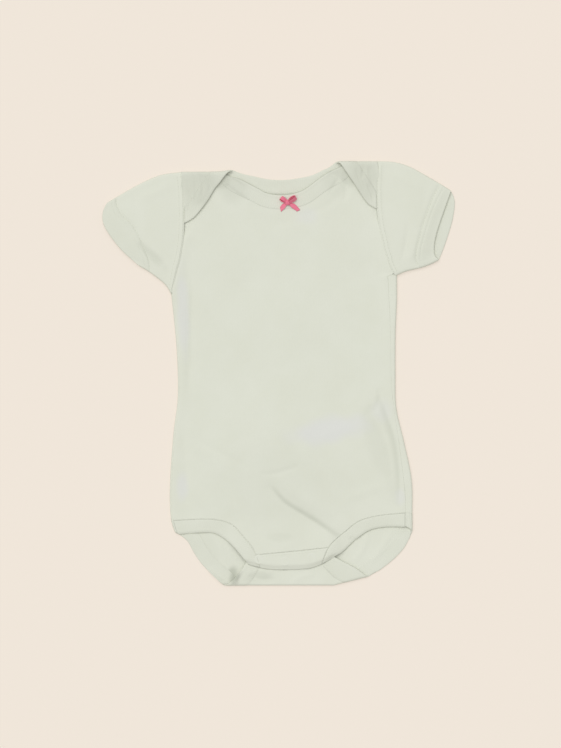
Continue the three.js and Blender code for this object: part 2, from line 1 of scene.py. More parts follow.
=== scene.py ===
# Baby onesie with an envelope neck, lying flat on its back with its front up.
# Every table is in millimetres in the frame's own axes: +X to the right of the picture, +Y towards
# the neck, +Z up from the surface it lies on. Meshes are made in metres.
import math

import bmesh
import bpy
import numpy as np
from mathutils import Matrix, Vector


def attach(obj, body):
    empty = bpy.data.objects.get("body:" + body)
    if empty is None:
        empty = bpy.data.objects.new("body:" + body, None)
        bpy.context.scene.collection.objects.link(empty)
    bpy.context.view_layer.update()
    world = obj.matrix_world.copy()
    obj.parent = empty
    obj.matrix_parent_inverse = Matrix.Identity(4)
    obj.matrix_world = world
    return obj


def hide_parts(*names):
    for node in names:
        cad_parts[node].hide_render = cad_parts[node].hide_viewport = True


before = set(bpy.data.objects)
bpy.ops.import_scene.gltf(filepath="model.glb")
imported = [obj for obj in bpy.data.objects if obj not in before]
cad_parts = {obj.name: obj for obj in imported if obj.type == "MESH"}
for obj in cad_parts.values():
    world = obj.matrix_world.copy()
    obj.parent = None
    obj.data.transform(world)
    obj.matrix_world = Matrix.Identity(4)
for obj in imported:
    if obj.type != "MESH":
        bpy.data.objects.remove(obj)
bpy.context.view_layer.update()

MM = 0.001

# Cloth
JERSEY_WALL = 1.0
JERSEY_LIFT = 0.12
BINDING_WALL = 1.5
BINDING_WIDTH = 14.0
BINDING_RISE = 0.18
SLEEVE_HEM_WALL = 1.5
CROTCH_HEM_WALL = 1.1
SEAM_WALL = 1.06
# How far panels run on under a binding, and how far its stitches lie from its seam edge
TUCK = 1.6
STITCH_SETBACK = 1.3

# Radius of the outer face where the cloth folds over
SIDE_FOLD = 2.0
NECK_CORNER_FOLD = 3.0
SHOULDER_TIP_FOLD = 2.4
CROTCH_FOLD = 1.9
SLEEVE_FOLD = 2.3

# Height of the front's upper face
FRONT_HEIGHT = 3.5
# Below this height the troughs flatten out, because the back lies under them, and how far they still give
SHALLOW = 2.7
SHALLOW_GIVE = 0.6
FLAP_HEIGHT = 7.3
LEFT_SEAM_HEIGHT = 4.05
RIGHT_SEAM_HEIGHT = 4.05
ARMHOLE_HEIGHT = 4.45

# Levels of the underarm points and of the end of the back's crotch flap
ARMPIT_LEFT = 75.5
ARMPIT_RIGHT = 92.5
ARMPIT_STEP = 1.5
BACK_FLAP_END = -163.0

# Outline of the garment as it lies, each row x, y
LEFT_SIDE = [
    (-95.6, -157.6), (-99.9, -148), (-102.6, -138), (-103.8, -122), (-103.5, -102), (-100.2, -56),
    (-96.4, -25), (-96.4, 5), (-98.3, 35), (-102.6, 76),
]
RIGHT_SIDE = [
    (126.4, -158), (126.7, -136), (126.2, -102), (119.3, -67), (111.6, -33), (110.7, 0),
    (110.9, 40), (112.1, 69), (112.1, 93),
]
RIGHT_SEAM = [
    (119.4, -158), (119.7, -121), (114.5, -73), (106.9, -16), (105.5, 41), (102.8, 93),
]
LEFT_ARMHOLE = [
    (-102.7, 74), (-99.3, 86.5), (-96.9, 96.9), (-94.1, 106.4), (-92.2, 116.9), (-90.7, 126.4),
    (-89.9, 143.5), (-89.9, 159.6), (-90.8, 179.6), (-93.2, 194),
]
RIGHT_ARMHOLE = [
    (111.4, 91), (107.9, 95.5), (104.5, 101.7), (102.4, 109.3), (99.8, 117), (97.4, 128.3),
    (95, 138.7), (93.4, 150.1), (92.6, 160), (92.4, 180.5), (93.6, 203),
]
SHOULDER_TOP = [(-110, 191.2), (-56, 191.2), (-44, 192.8), (58, 201), (110, 201.2)]
CROTCH_BOTTOM = [(-110, -201.8), (52, -201.8), (84.6, -193.2), (100, -188)]

# Front edges and seams, each row x, y. Their ends run on under the piece that covers them.
FRONT_NECK_EDGE = [
    (-56, 190.6), (-49.4, 187.6), (-38.3, 184.6), (-20, 175.5), (-11.4, 171), (4.8, 169.2),
    (20.9, 172.9), (39, 185.5), (48, 191.4), (62, 197.4), (70, 201),
]
FRONT_NECK_SEAM = [
    (-70, 195), (-62, 187.6), (-49, 174.6), (-26.7, 163.2), (-15.8, 157.7), (4.8, 155.2),
    (26.6, 160.1), (47.2, 174.2), (62, 182.5), (77, 197.4), (82, 203),
]
FRONT_LEG_EDGE_LEFT = [
    (-102, -153.4), (-93.7, -153), (-62.7, -152), (-54.2, -155.8), (-44.7, -163.4), (-29.5, -181.3),
    (-26, -186),
]
FRONT_LEG_SEAM_LEFT = [
    (-106, -139), (-97.3, -138.6), (-61.8, -137.8), (-44.7, -142.5), (-34.2, -153), (-22.8, -168),
    (-17.5, -184.7), (-16, -190),
]
FRONT_LEG_EDGE_RIGHT = [
    (46, -180), (50, -176), (59.9, -170), (72.2, -158.7), (86.5, -149.2), (100.7, -146.3),
    (119.1, -146.3), (128, -146.6),
]
FRONT_LEG_SEAM_RIGHT = [
    (36, -190), (39.5, -181.5), (45.6, -165), (52, -158), (62.7, -149.2), (75, -139.7),
    (91.2, -134.9), (119.4, -131.5), (130, -130.4),
]
CROTCH_HEM_EDGE = [
    (-30, -181.2), (-20.9, -183.9), (-7.6, -186.2), (16.2, -186.2), (30.4, -184.8), (39.9, -181.5),
    (50, -176),
]
CROTCH_HEM_STITCH = [(-26, -171.8), (-19, -171), (44.7, -164.4), (50, -163.8)]

# Edges of the back: on the lower layer, and where they have turned onto the front, each row x, y
BACK_NECK_ROWS = [
    (-41, 191.8), (-22.8, 186.6), (-8.6, 183.8), (5.7, 183.4), (20, 185.3), (31.4, 187.9),
    (40.9, 192.4), (50.4, 197.5),
]
LEFT_LAP_ROWS = [
    (-100, 136), (-91.2, 141.5), (-82.1, 146.3), (-74.9, 154), (-67.6, 163.7), (-59.2, 177),
]
RIGHT_LAP_ROWS = [(70, 181.5), (78.9, 168), (84.6, 160.5), (94, 155), (104, 151)]
BACK_LEG_LEFT_ROWS = [
    (-125, -150), (-104, -151.5), (-96, -153), (-87.2, -159.6), (-80.8, -170.8), (-72.8, -182.1),
    (-57.8, -197),
]
LEFT_FLAP_ROWS = [(-38, -190), (-31.4, -179.6), (-24, -163), (-17, -148)]
RIGHT_FLAP_ROWS = [(36, -152), (43, -163), (53.2, -174.8), (72.2, -184.8)]
BACK_LEG_RIGHT_ROWS = [
    (86.5, -193.3), (96, -187), (106.4, -179), (113.5, -172.3), (119, -165.8), (123.2, -158.4),
    (127.4, -151), (133.9, -146.3), (145, -143),
]

# Large soft folds of the front: rounded rises (x, y, half width, half length, height)
RISES = [
    (16, 62, 62, 66, 1.1),
    (-50, 112, 36, 40, 0.6),
    (62, 118, 32, 34, 0.6),
    (-8, -52, 66, 56, 0.9),
    (68, -70, 34, 44, 0.6),
]
# and troughs (from x, y, to x, y, half width, depth)
TROUGHS = [
    (-6, -108, 20, -132, 7, 0.8),
    (20, -132, 56, -158, 6, 1.1),
    (88, -39, 105, -64, 6, 0.8),
    (105, -64, 113, -112, 5, 0.9),
    (-86, 90, -86, -12, 6, 0.5),
]

# Creases of the front, each a line of x, y, its half width and its height (below zero for a trough)
FRONT_CREASES = [
    ([(-9, -106), (5.7, -122.5), (20, -131.6), (39, -143.4), (60, -158)], (3.4, 1.8), -0.7),
    ([(-2, -98), (14, -114), (30, -124), (50, -136), (66, -148)], 5.5, 0.7),
    ([(86, -30), (96, -48), (105.5, -64.6), (111.5, -84), (113, -101.7), (110, -128)], (1.7, 6.0), -1.1),
    ([(95.5, -14), (95, -25.7), (91, -38)], 2.4, -0.8),
    ([(-86, 84), (-85.5, 62), (-85.8, 30), (-85.3, -12)], 2.2, -0.6),
    ([(-84, -60), (-56, -76), (-28, -90)], 3.4, -0.45),
    ([(-18, -97), (2, -94), (20, -88)], 2.4, -0.55),
    ([(-78, -74), (-58, -98), (-42, -126)], 3.2, -0.4),
    ([(-50, 178.5), (-41, 171.2), (-29, 163.6)], (1.6, 4.0), -1.2),
    ([(-48, 187), (-40, 181), (-31, 172)], 2.2, -0.8),
    ([(48, 191), (56, 185), (65, 178)], 2.4, -1.0),
    ([(58, 192), (55, 182), (48, 172)], 2.0, -0.8),
    ([(62, 184), (64, 174), (62, 162)], 2.4, -0.7),
    ([(-12, -154), (2, -157), (15, -155)], 3.6, -1.3),
    ([(67, -156), (72, -159), (76, -160)], 2.2, -0.8),
    ([(-96, 118), (-88, 100), (-84, 78)], 3.0, -0.35),
    ([(92, 128), (97, 112), (99, 94)], 3.0, -0.35),
    ([(34, -62), (58, -54), (82, -50)], 6.0, 0.3),
    ([(-92, -60), (-88, -92), (-89, -126)], 3.4, -0.4),
    ([(60, -122), (84, -112), (104, -106)], 4.5, 0.4),
    ([(-30, 148), (-6, 143), (22, 147)], 5.0, -0.3),
    ([(24, 150), (44, 158), (60, 170)], 3.6, -0.35),
]
# Creases of the turned parts of the back: the two laps and the crotch flap
TURNED_CREASES = [
    ([(-81, 190), (-78.5, 176), (-79.5, 162)], 1.5, -0.9),
    ([(-75, 189), (-72, 178), (-73, 166)], 1.4, -0.8),
    ([(-86.5, 184), (-84.5, 168), (-86, 152)], 1.5, -0.7),
    ([(-69, 188), (-66, 180), (-65, 172)], 1.5, -0.7),
    ([(79, 198), (79.6, 191), (78, 184)], 1.4, -0.8),
    ([(85.5, 196), (87, 186), (91, 176)], 1.5, -0.8),
    ([(72.5, 194), (76, 184), (82, 174)], 1.4, -0.7),
    ([(84, 178), (88, 170), (90, 162)], 1.6, -0.6),
    ([(-36, -185), (-40.5, -193), (-42.5, -200.5)], (2.6, 1.6), 2.6),
    ([(-29, -192), (-18, -196.5), (-5, -196)], 2.6, -0.9),
    ([(-24, -187), (-14, -189), (-4, -188)], 1.8, 0.5),
    ([(12, -199), (22, -193), (33, -191)], 2.2, 0.4),
    ([(38, -184), (47, -190), (57, -198)], 1.2, -0.5),
]
# How much the laps stand up beside the shoulder folds, and over what length that fades
LAP_SWELL = 1.3
LAP_SWELL_LENGTH = 11.0
# How much the free edges of the crotch hem and of the leg bindings droop, and over what width
HEM_DROOP = (2.0, 5.0)
LEG_DROOP = (0.5, 3.0)
# Raised creases of the back's lower layer, which shows through the openings and from below
LOWER_CREASES = [
    ([(-68, -187), (-57, -197.5), (-47, -202.5)], (1.6, 2.4), 2.4),
    ([(-88, -150), (-74, -162), (-62, -180)], 3.2, 0.7),
    ([(-78, -140), (-60, -158), (-48, -184)], 2.6, 0.6),
    ([(108, -150), (98, -166), (86, -180)], 3.0, 0.7),
    ([(84, -150), (80, -166), (70, -180)], 2.4, 0.6),
    ([(-34, 178), (-12, 172), (14, 174)], 3.0, 0.5),
    ([(-70, 120), (-30, 90), (10, 84)], 5.0, 0.7),
    ([(90, 100), (60, 60), (40, 10)], 5.0, 0.6),
    ([(-80, -20), (-40, -40), (0, -46)], 4.5, 0.7),
    ([(100, -70), (60, -90), (20, -96)], 4.5, 0.7),
    ([(-60, -90), (-30, -120), (-20, -160)], 4.0, 0.6),
]
# Creases of the sleeves' upper layers
SLEEVE_CREASES = [
    ([(-133, 123), (-122, 111), (-110, 100)], (4.0, 2.4), -1.2),
    ([(-112, 92), (-122, 110), (-128, 126)], 3.4, 0.5),
    ([(-100, 182), (-116, 172), (-134, 164)], 4.0, 0.4),
    ([(-138, 176), (-136, 158), (-130, 140)], 3.2, -0.3),
    ([(116, 104), (120, 122), (122, 142)], 2.6, -0.6),
    ([(124, 104), (129, 120), (133, 136)], 3.4, 0.5),
    ([(102, 192), (118, 184), (136, 176)], 4.0, 0.4),
    ([(140, 182), (137, 162), (132, 144)], 3.2, -0.3),
]
# Crossing waves that make cloth a little uneven: direction in degrees, stretch and shift
WAVES = [(12, 1.0, 0.4), (71, 1.31, 2.1), (128, 0.83, 4.4), (164, 1.57, 1.3), (40, 0.71, 5.2)]

# Where the colour has greyed a little in the wash: x, y, half width, half length, degrees, strength
FADED = [
    (48, -54, 44, 15, 9, 1.0),
    (98, -36, 14, 12, 30, 0.5),
    (-91, 60, 7, 50, 2, 0.8),
    (-92, -108, 7, 15, 0, 0.8),
    (115, -118, 6, 10, 0, 0.6),
    (27, 149, 13, 9, 0, 0.5),
]
# Where the colour is painted darker: as shade in small crumples and where the cloth lies double, and
# faintly over the
# lower front, in the same terms: on the front, and on the laps and flap that the back turns up
PAINTED_SHADE_SPOTS = [
    (-43, 178, 24, 17, -40, 0.3),
    (-53, 181, 9, 10, -40, 0.6),
    (64, 186, 10, 12, 35, 0.5),
    (56, 184, 24, 16, 35, 0.22),
    (0, -118, 84, 60, 0, 0.1),
    (92, -66, 11, 40, 14, 0.14),
    (2, -156, 18, 6, 0, 0.2),
]
# Lines along folds where shade is painted too: x, y rows, half width left and right of the line, strength
PAINTED_SHADE_LINES = [
    ([(-9, -106), (5.7, -122.5), (20, -131.6), (39, -143.4), (60, -158)], (3.2, 1.3), 0.85),
    ([(94, -20), (101.5, -41), (108.6, -62), (112, -84), (113.3, -102), (112, -128)], (1.5, 4.0), 0.42),
    ([(-84.5, 90), (-84.6, 70), (-85.2, 40), (-84.8, 4)], (2.0, 1.2), 0.22),
    ([(-34, 184), (-28, 179.6), (-20, 175.4)], 0.9, 0.2),
]
# Painted shade in the sleeves' creases, in the same terms
SLEEVE_PAINTED_SHADE = [
    (-121, 111, 20, 6, -42, 0.3),
    (139, 112, 12, 9, 10, 0.15),
]
# Painted shade on the laps and the crotch flap, darkest as a painted shadow at the flap's left edge
PAINTED_SHADE_TURNED = [
    (-74, 176, 26, 30, 0, 0.42),
    (80, 184, 22, 30, 0, 0.36),
    (-18, -194, 18, 7, 0, 0.3),
    (-42.5, -193.5, 5, 9, -25, 1.0),
]
# and painted shade on the back's lower layer, with a painted shadow in the fold beside the crotch flap's
# left edge
PAINTED_SHADE_LOWER = [
    (-46, -192, 6, 10, -30, 1.0),
    (52, -178, 9, 6, -30, 0.35),
    (-66, -166, 20, 12, -45, 0.12),
]


# Snaps, each row name, x, y
SNAPS = [("left", -19, -176.6), ("middle", 5.8, -178.4), ("right", 31, -174.6)]
CAP_SEAT = 0.14
SOCKET_Z = 4.8
STUD_Z = 4.1

# Ribbon bow
RIBBON_WIDTH = 4.2
RIBBON_THICKNESS = 0.34
BOW_CENTRE = (7.9, 161.6)
KNOT_SIZE = (2.4, 3.1, 1.7)


# Lines

def evenly(points, count):
    """The same line as count + 1 points at even distances."""
    steps = np.linalg.norm(np.diff(points, axis=0), axis=1)
    lengths = np.concatenate([[0], np.cumsum(steps)])
    places = np.linspace(0, lengths[-1], count + 1)
    return np.column_stack([np.interp(places, lengths, axis) for axis in points.T])


def length_of(points):
    return np.linalg.norm(np.diff(points, axis=0), axis=1).sum()


def smooth_line(rows, spacing=0.8):
    """Even points along a smooth line through rows of x, y."""
    rows = np.array(rows, float)
    knots = np.vstack([2 * rows[0] - rows[1], rows, 2 * rows[-1] - rows[-2]])
    share = np.linspace(0, 1, 20, endpoint=False)[:, None]
    parts = []
    for a, b, c, d in zip(knots, knots[1:], knots[2:], knots[3:]):
        before, here, after = (math.sqrt(np.linalg.norm(q - p)) for p, q in ((a, b), (b, c), (c, d)))
        leave = ((b - a) / before - (c - a) / (before + here) + (c - b) / here) * here
        reach = ((c - b) / here - (d - b) / (here + after) + (d - c) / after) * here
        square = 3 * (c - b) - 2 * leave - reach
        cube = 2 * (b - c) + leave + reach
        parts.append(b + leave * share + square * share ** 2 + cube * share ** 3)
    line = np.vstack([*parts, rows[-1:]])
    return evenly(line, max(int(round(length_of(line) / spacing)), 4))


def y_at(line):
    """Reads y where a line passes x."""
    order = line[np.argsort(line[:, 0])]
    return lambda x: np.interp(x, order[:, 0], order[:, 1])


def x_at(line):
    """Reads x where a line passes y."""
    order = line[np.argsort(line[:, 1])]
    return lambda y: np.interp(y, order[:, 1], order[:, 0])


def moved(line, distance):
    """The same line moved sideways: to its left for a positive distance."""
    along = np.gradient(line, axis=0)
    along /= np.linalg.norm(along, axis=1)[:, None]
    return line + distance * np.column_stack([-along[:, 1], along[:, 0]])


def kept_stretch(line, inside):
    """The stretch of a line where inside is above zero, ending exactly where inside is zero."""
    value = inside(line)
    kept = np.nonzero(value > 0)[0]
    first, last = kept[0], kept[-1]
    parts = [line[first:last + 1]]
    if first > 0:
        share = value[first] / (value[first] - value[first - 1])
        parts.insert(0, (line[first] + (line[first - 1] - line[first]) * share)[None])
    if last < len(line) - 1:
        share = value[last] / (value[last] - value[last + 1])
        parts.append((line[last] + (line[last + 1] - line[last]) * share)[None])
    return np.vstack(parts)


def ease(value, start, end):
    """Goes smoothly from 0 at start to 1 at end."""
    share = np.clip((value - start) / (end - start), 0, 1)
    return share * share * (3 - 2 * share)


def mix(a, b, share):
    return a + (b - a) * share


def nearest_on(line, x, y):
    """Distance of points to a line, share of its length at the nearest place, and whether left of it."""
    flat = np.column_stack([np.ravel(x), np.ravel(y)])
    along = np.gradient(line, axis=0)
    distance = np.empty(len(flat))
    index = np.empty(len(flat), int)
    for start in range(0, len(flat), 20000):
        part = slice(start, start + 20000)
        apart = np.hypot(flat[part, None, 0] - line[:, 0], flat[part, None, 1] - line[:, 1])
        index[part] = apart.argmin(axis=1)
        distance[part] = apart[np.arange(len(apart)), index[part]]
    away = flat - line[index]
    left = along[index, 0] * away[:, 1] > along[index, 1] * away[:, 0]
    shape = np.shape(x)
    return distance.reshape(shape), (index / (len(line) - 1)).reshape(shape), left.reshape(shape)


def creased(x, y, creases):
    """Sum of soft creases that fade out at both ends. A pair of half widths is for left and right."""
    total = np.zeros(np.shape(x))
    for rows, half_width, height in creases:
        distance, share, left = nearest_on(smooth_line(rows, 1.2), x, y)
        if isinstance(half_width, tuple):
            half_width = np.where(left, *half_width)
        fade = np.sqrt(np.clip(4 * share * (1 - share), 0, 1))
        total += height * fade * np.exp(-(distance / half_width) ** 2)
    return total


def uneven(x, y, size):
    """Repeatable unevenness of cloth between -1 and 1, with waves about size long."""
    total = np.zeros(np.shape(x))
    for direction, stretch, shift in WAVES:
        turn = math.radians(direction)
        total += np.sin((x * math.cos(turn) + y * math.sin(turn)) * math.tau / (size * stretch) + shift)
    return total / len(WAVES)


# Outline readings

left_side_x = x_at(smooth_line(LEFT_SIDE))
right_side_x = x_at(smooth_line(RIGHT_SIDE))
right_seam_x = x_at(smooth_line(RIGHT_SEAM))
left_armhole_x = x_at(smooth_line(LEFT_ARMHOLE))
right_armhole_x = x_at(smooth_line(RIGHT_ARMHOLE))
shoulder_y = y_at(np.array(SHOULDER_TOP, float))
crotch_y = y_at(np.array(CROTCH_BOTTOM, float))


def shoulder_radius(x):
    towards_tip = np.where(np.asarray(x) < 0, ease(-np.asarray(x), 72, 91), ease(np.asarray(x), 82, 96))
    return mix(NECK_CORNER_FOLD, SHOULDER_TIP_FOLD, towards_tip)


def shoulder_start(x):
    return shoulder_y(x) - shoulder_radius(x)


def crotch_start(x):
    return crotch_y(x) + CROTCH_FOLD


def opened_at_shoulder(rows):
    """Rows on a turned lap, as they lie when the back is opened out flat."""
    rows = np.array(rows, float)
    x, y = rows.T
    return np.column_stack([x, 2 * shoulder_start(x) + math.pi * shoulder_radius(x) - y])


def opened_at_crotch(rows):
    """Rows on the turned crotch flap, as they lie when the back is opened out flat."""
    rows = np.array(rows, float)
    x, y = rows.T
    return np.column_stack([x, 2 * crotch_start(x) - math.pi * CROTCH_FOLD - y])


neck_edge = smooth_line([
    *opened_at_shoulder(LEFT_LAP_ROWS), *BACK_NECK_ROWS, *opened_at_shoulder(RIGHT_LAP_ROWS),
])
leg_edge_left = smooth_line([*BACK_LEG_LEFT_ROWS, *opened_at_crotch(LEFT_FLAP_ROWS)])
leg_edge_right = smooth_line([*opened_at_crotch(RIGHT_FLAP_ROWS), *BACK_LEG_RIGHT_ROWS])


def back_flap_end_y(x):
    """Where the back's crotch flap ends on the opened cut."""
    return 2 * crotch_start(x) - math.pi * CROTCH_FOLD - BACK_FLAP_END


# The back

def left_line(y):
    """Left fold of the side up to the underarm, and the armhole above it."""
    above = np.clip((y - ARMPIT_LEFT) / ARMPIT_STEP, 0, 1)
    return mix(left_side_x(y) + SIDE_FOLD, left_armhole_x(y), above)


def right_line(y):
    above = np.clip((y - ARMPIT_RIGHT) / ARMPIT_STEP, 0, 1)
    return mix(right_side_x(y) - SIDE_FOLD, right_armhole_x(y), above)


def around_fold(length, radius):
    """Turns a length past the start of a fold into how far out it reaches, its height and its angle."""
    length = np.maximum(length, 0)
    angle = np.minimum(length / radius, math.pi)
    past = np.maximum(length - math.pi * radius, 0)
    return radius * np.sin(angle) - past, radius * (1 - np.cos(angle)), angle


ROLL_END = 2.5


def back_place(x, y, depth=0.0):
    """Place of points of the back, given where they are on the opened cut and how deep in the cloth."""
    x, y, depth = np.broadcast_arrays(np.asarray(x, float), np.asarray(y, float), np.asarray(depth, float))
    top, low = shoulder_start(x), crotch_start(x)
    top_out, top_height, top_angle = around_fold(y - top, shoulder_radius(x))
    low_out, low_height, low_angle = around_fold(low - y, CROTCH_FOLD)
    left_length = np.where(y < ARMPIT_LEFT + ROLL_END, np.maximum(left_line(y) - x, 0), 0)
    right_length = np.where(y < ARMPIT_RIGHT + ROLL_END, np.maximum(x - right_line(y), 0), 0)
    left_out, left_height, left_angle = around_fold(left_length, SIDE_FOLD)
    right_out, right_height, right_angle = around_fold(right_length, SIDE_FOLD)
    place_x = x + left_length - left_out - right_length + right_out
    place_y = np.clip(y, low, top) + top_out - low_out
    height = top_height + low_height + left_height + right_height
    depth = np.maximum(depth, -0.2 * height)
    facing_x = np.sin(right_angle) - np.sin(left_angle)
    facing_y = np.sin(top_angle) - np.sin(low_angle)
    facing_z = -np.cos(top_angle) * np.cos(low_angle) * np.cos(left_angle) * np.cos(right_angle)
    lower = 1 - ease(height, 0.4, 2.0)
    turned = ease(height, 2.6, 3.7)
    lower_relief = 0.22 * (1 + uneven(place_x, place_y, 52)) + creased(place_x, place_y, LOWER_CREASES)
    past_shoulder = y - top - math.pi * shoulder_radius(x)
    swell = LAP_SWELL * (y > top) * np.exp(-np.maximum(past_shoulder, 0) / LAP_SWELL_LENGTH)
    turned_relief = 0.2 * uneven(place_x, place_y, 15) + creased(place_x, place_y, TURNED_CREASES) + swell
    relief = lower * lower_relief + turned * turned_relief
    return np.stack([
        place_x - depth * facing_x,
        place_y - depth * facing_y,
        height - depth * facing_z + relief,
    ], axis=-1)


def placed_y(x, y):
    """y where a point of the opened back comes to lie."""
    top_out = around_fold(y - shoulder_start(x), shoulder_radius(x))[0]
    low_out = around_fold(crotch_start(x) - y, CROTCH_FOLD)[0]
    return np.clip(y, crotch_start(x), shoulder_start(x)) + top_out - low_out


def middle_x(share, y):
    """x on the opened cut of a column of the back at share from its left line to its right line."""
    x = mix(left_line(np.zeros(np.shape(y))), right_line(np.zeros(np.shape(y))), share)
    for _ in range(6):
        place_y = placed_y(x, y)
        x = mix(left_line(place_y), right_line(place_y), share)
    return x


# The front

left_lap_y = y_at(smooth_line(LEFT_LAP_ROWS))
right_lap_y = y_at(smooth_line(RIGHT_LAP_ROWS))
SEAM_OVERLAP = 0.25
LAP_TIPS = (-49, 62)
# From where to where the front rises onto the crotch flap, at its left and right
FLAP_SIDES = ((-58, -34), (46, 66))


def front_left(y):
    return left_line(y) - SEAM_OVERLAP


def front_right(y):
    above = np.clip((y - ARMPIT_RIGHT) / ARMPIT_STEP, 0, 1)
    return mix(right_seam_x(y), right_armhole_x(y), above) + SEAM_OVERLAP


def front_height(x, y):
    """Height of the front's upper face."""
    height = np.full(np.shape(x), FRONT_HEIGHT)
    for centre_x, centre_y, half_width, half_length, rise in RISES:
        far = np.minimum(np.hypot((x - centre_x) / half_width, (y - centre_y) / half_length), 1)
        height = height + rise * (0.5 + 0.5 * np.cos(math.pi * far))
    dips = []
    for x1, y1, x2, y2, half_width, depth in TROUGHS:
        along_x, along_y = x2 - x1, y2 - y1
        share = ((x - x1) * along_x + (y - y1) * along_y) / (along_x ** 2 + along_y ** 2)
        share = np.clip(share, 0, 1)
        far = np.hypot(x - x1 - along_x * share, y - y1 - along_y * share)
        dips.append(depth * np.exp(-(far / half_width) ** 2))
    height = height - np.max(dips, axis=0)
    height = height + creased(x, y, FRONT_CREASES) + 0.14 * uneven(x, y, 34) + 0.05 * uneven(y, x, 9)
    below = np.maximum(SHALLOW - height, 0)
    height = height + below - SHALLOW_GIVE * (1 - np.exp(-below / SHALLOW_GIVE))
    lap_y = np.where(x < 0, left_lap_y(x), right_lap_y(x))
    below_lap = (x < LAP_TIPS[0]) | (x > LAP_TIPS[1])
    under_lap = np.where(below_lap, ease(y, lap_y - 16, lap_y - 2), 0)
    sides = (
        (x - front_left(y), ARMPIT_LEFT, LEFT_SEAM_HEIGHT),
        (front_right(y) - x, ARMPIT_RIGHT, RIGHT_SEAM_HEIGHT),
    )
    for distance, armpit, side_height in sides:
        seam_height = mix(side_height, ARMHOLE_HEIGHT, ease(y, armpit - 12, armpit + 6))
        at_seam = np.exp(-(distance / 6.5) ** 2)
        height = mix(height, np.maximum(height, seam_height), at_seam * (1 - under_lap))
        height = height - 0.12 * np.exp(-((distance - 0.6) / 0.8) ** 2) * (1 - under_lap)
    lap_limit = 2 * shoulder_radius(x) - BINDING_WALL - BINDING_RISE - 0.3
    height = mix(height, np.minimum(height, lap_limit), under_lap)
    across_flap = np.where(x < 0, ease(x, *FLAP_SIDES[0]), 1 - ease(x, *FLAP_SIDES[1]))
    flap = FLAP_HEIGHT + 0.2 * uneven(x, y, 17)
    on_flap = ease(-y, 134, 170) * across_flap
    height = mix(height, flap, on_flap)
    height = height - HEM_DROOP[0] * (1 - ease(y - hem_edge_y(x), 0, HEM_DROOP[1]))
    for edge in leg_edges:
        height = height - LEG_DROOP[0] * (1 - ease(nearest_on(edge, x, y)[0], 0, LEG_DROOP[1]))
    return height


# Making meshes

def finished(name, bm, material, smooth=True):
    """Makes a piece from a bmesh."""
    mesh = bpy.data.meshes.new(name)
    bm.to_mesh(mesh)
    bm.free()
    if smooth:
        mesh.shade_smooth()
    piece = bpy.data.objects.new(name, mesh)
    bpy.context.scene.collection.objects.link(piece)
    mesh.materials.append(material)
    return piece


def blotches(x, y, spots):
    """How strongly soft-edged spots colour the points of a piece."""
    amount = np.zeros(np.shape(x))
    for centre_x, centre_y, half_width, half_length, degrees, strength in spots:
        turn = math.radians(degrees)
        across = ((x - centre_x) * math.cos(turn) + (y - centre_y) * math.sin(turn)) / half_width
        along = ((y - centre_y) * math.cos(turn) - (x - centre_x) * math.sin(turn)) / half_length
        far = np.hypot(across, along) + 0.18 * uneven(x, y, 24)
        amount = np.maximum(amount, strength * (1 - ease(far, 0.35, 1.15)))
    return amount


def grid_of(points, cut, **tones):
    """A grid of faces on points, with the flat cut as its UV map and tones kept on its corners."""
    columns, rows = points.shape[:2]
    bm = bmesh.new()
    bmesh.ops.create_grid(bm, x_segments=columns - 1, y_segments=rows - 1, size=1)
    layer = bm.loops.layers.uv.new("Cut")
    bm.verts.index_update()
    number = [
        (round((v.co.x + 1) / 2 * (columns - 1)), round((v.co.y + 1) / 2 * (rows - 1))) for v in bm.verts
    ]
    kept = {name: bm.verts.layers.float.new(name) for name in tones}
    for v, (i, j) in zip(bm.verts, number):
        v.co = points[i, j] * MM
        for name, tone in kept.items():
            v[tone] = tones[name][i, j]
    for face in bm.faces:
        for loop in face.loops:
            i, j = number[loop.vert.index]
            loop[layer].uv = cut[i, j] * MM
    bmesh.ops.remove_doubles(bm, verts=bm.verts[:], dist=0.003 * MM)
    return bm


def add_wall(piece, wall):
    """Gives a sheet its thickness, behind its outer face."""
    solidify = piece.modifiers.new("Wall", "SOLIDIFY")
    solidify.thickness = wall * MM
    solidify.offset = -1
    solidify.use_quality_normals = True


def rounded_section(width, wall, crown=0.2, seam_groove=0.1, bead=0.2):
    """Closed outline across a band: distance from its free edge and depth. It thins towards its seam."""
    half = wall / 2
    across = np.linspace(width - 0.2, half, 16)
    rise = crown * np.sin(math.pi * np.clip(across / width, 0, 1)) ** 0.7
    groove = seam_groove * np.exp(-((width - across - STITCH_SETBACK) / 0.55) ** 2)
    rise = rise + bead * np.exp(-((across - 1.8) / 1.0) ** 2)
    outer = [(w, -r + g) for w, r, g in zip(across, rise, groove)]
    angles = np.linspace(0, math.pi, 8)[1:-1]
    first_depth = outer[-1][1]
    edge = [(half - half * math.sin(a), mix(first_depth, wall, (1 - math.cos(a)) / 2)) for a in angles]
    inner = [(mix(half, width - 0.2, s), mix(wall, SEAM_WALL, s)) for s in np.linspace(0, 1, 8)]
    seam = [(width, SEAM_WALL - 0.2), (width, 0.3)]
    return np.array([*outer, *edge, *inner, *seam, outer[0]])


# Width of the painted shadow along a band's free edge
EDGE_SHADOW_WIDTH = 0.7


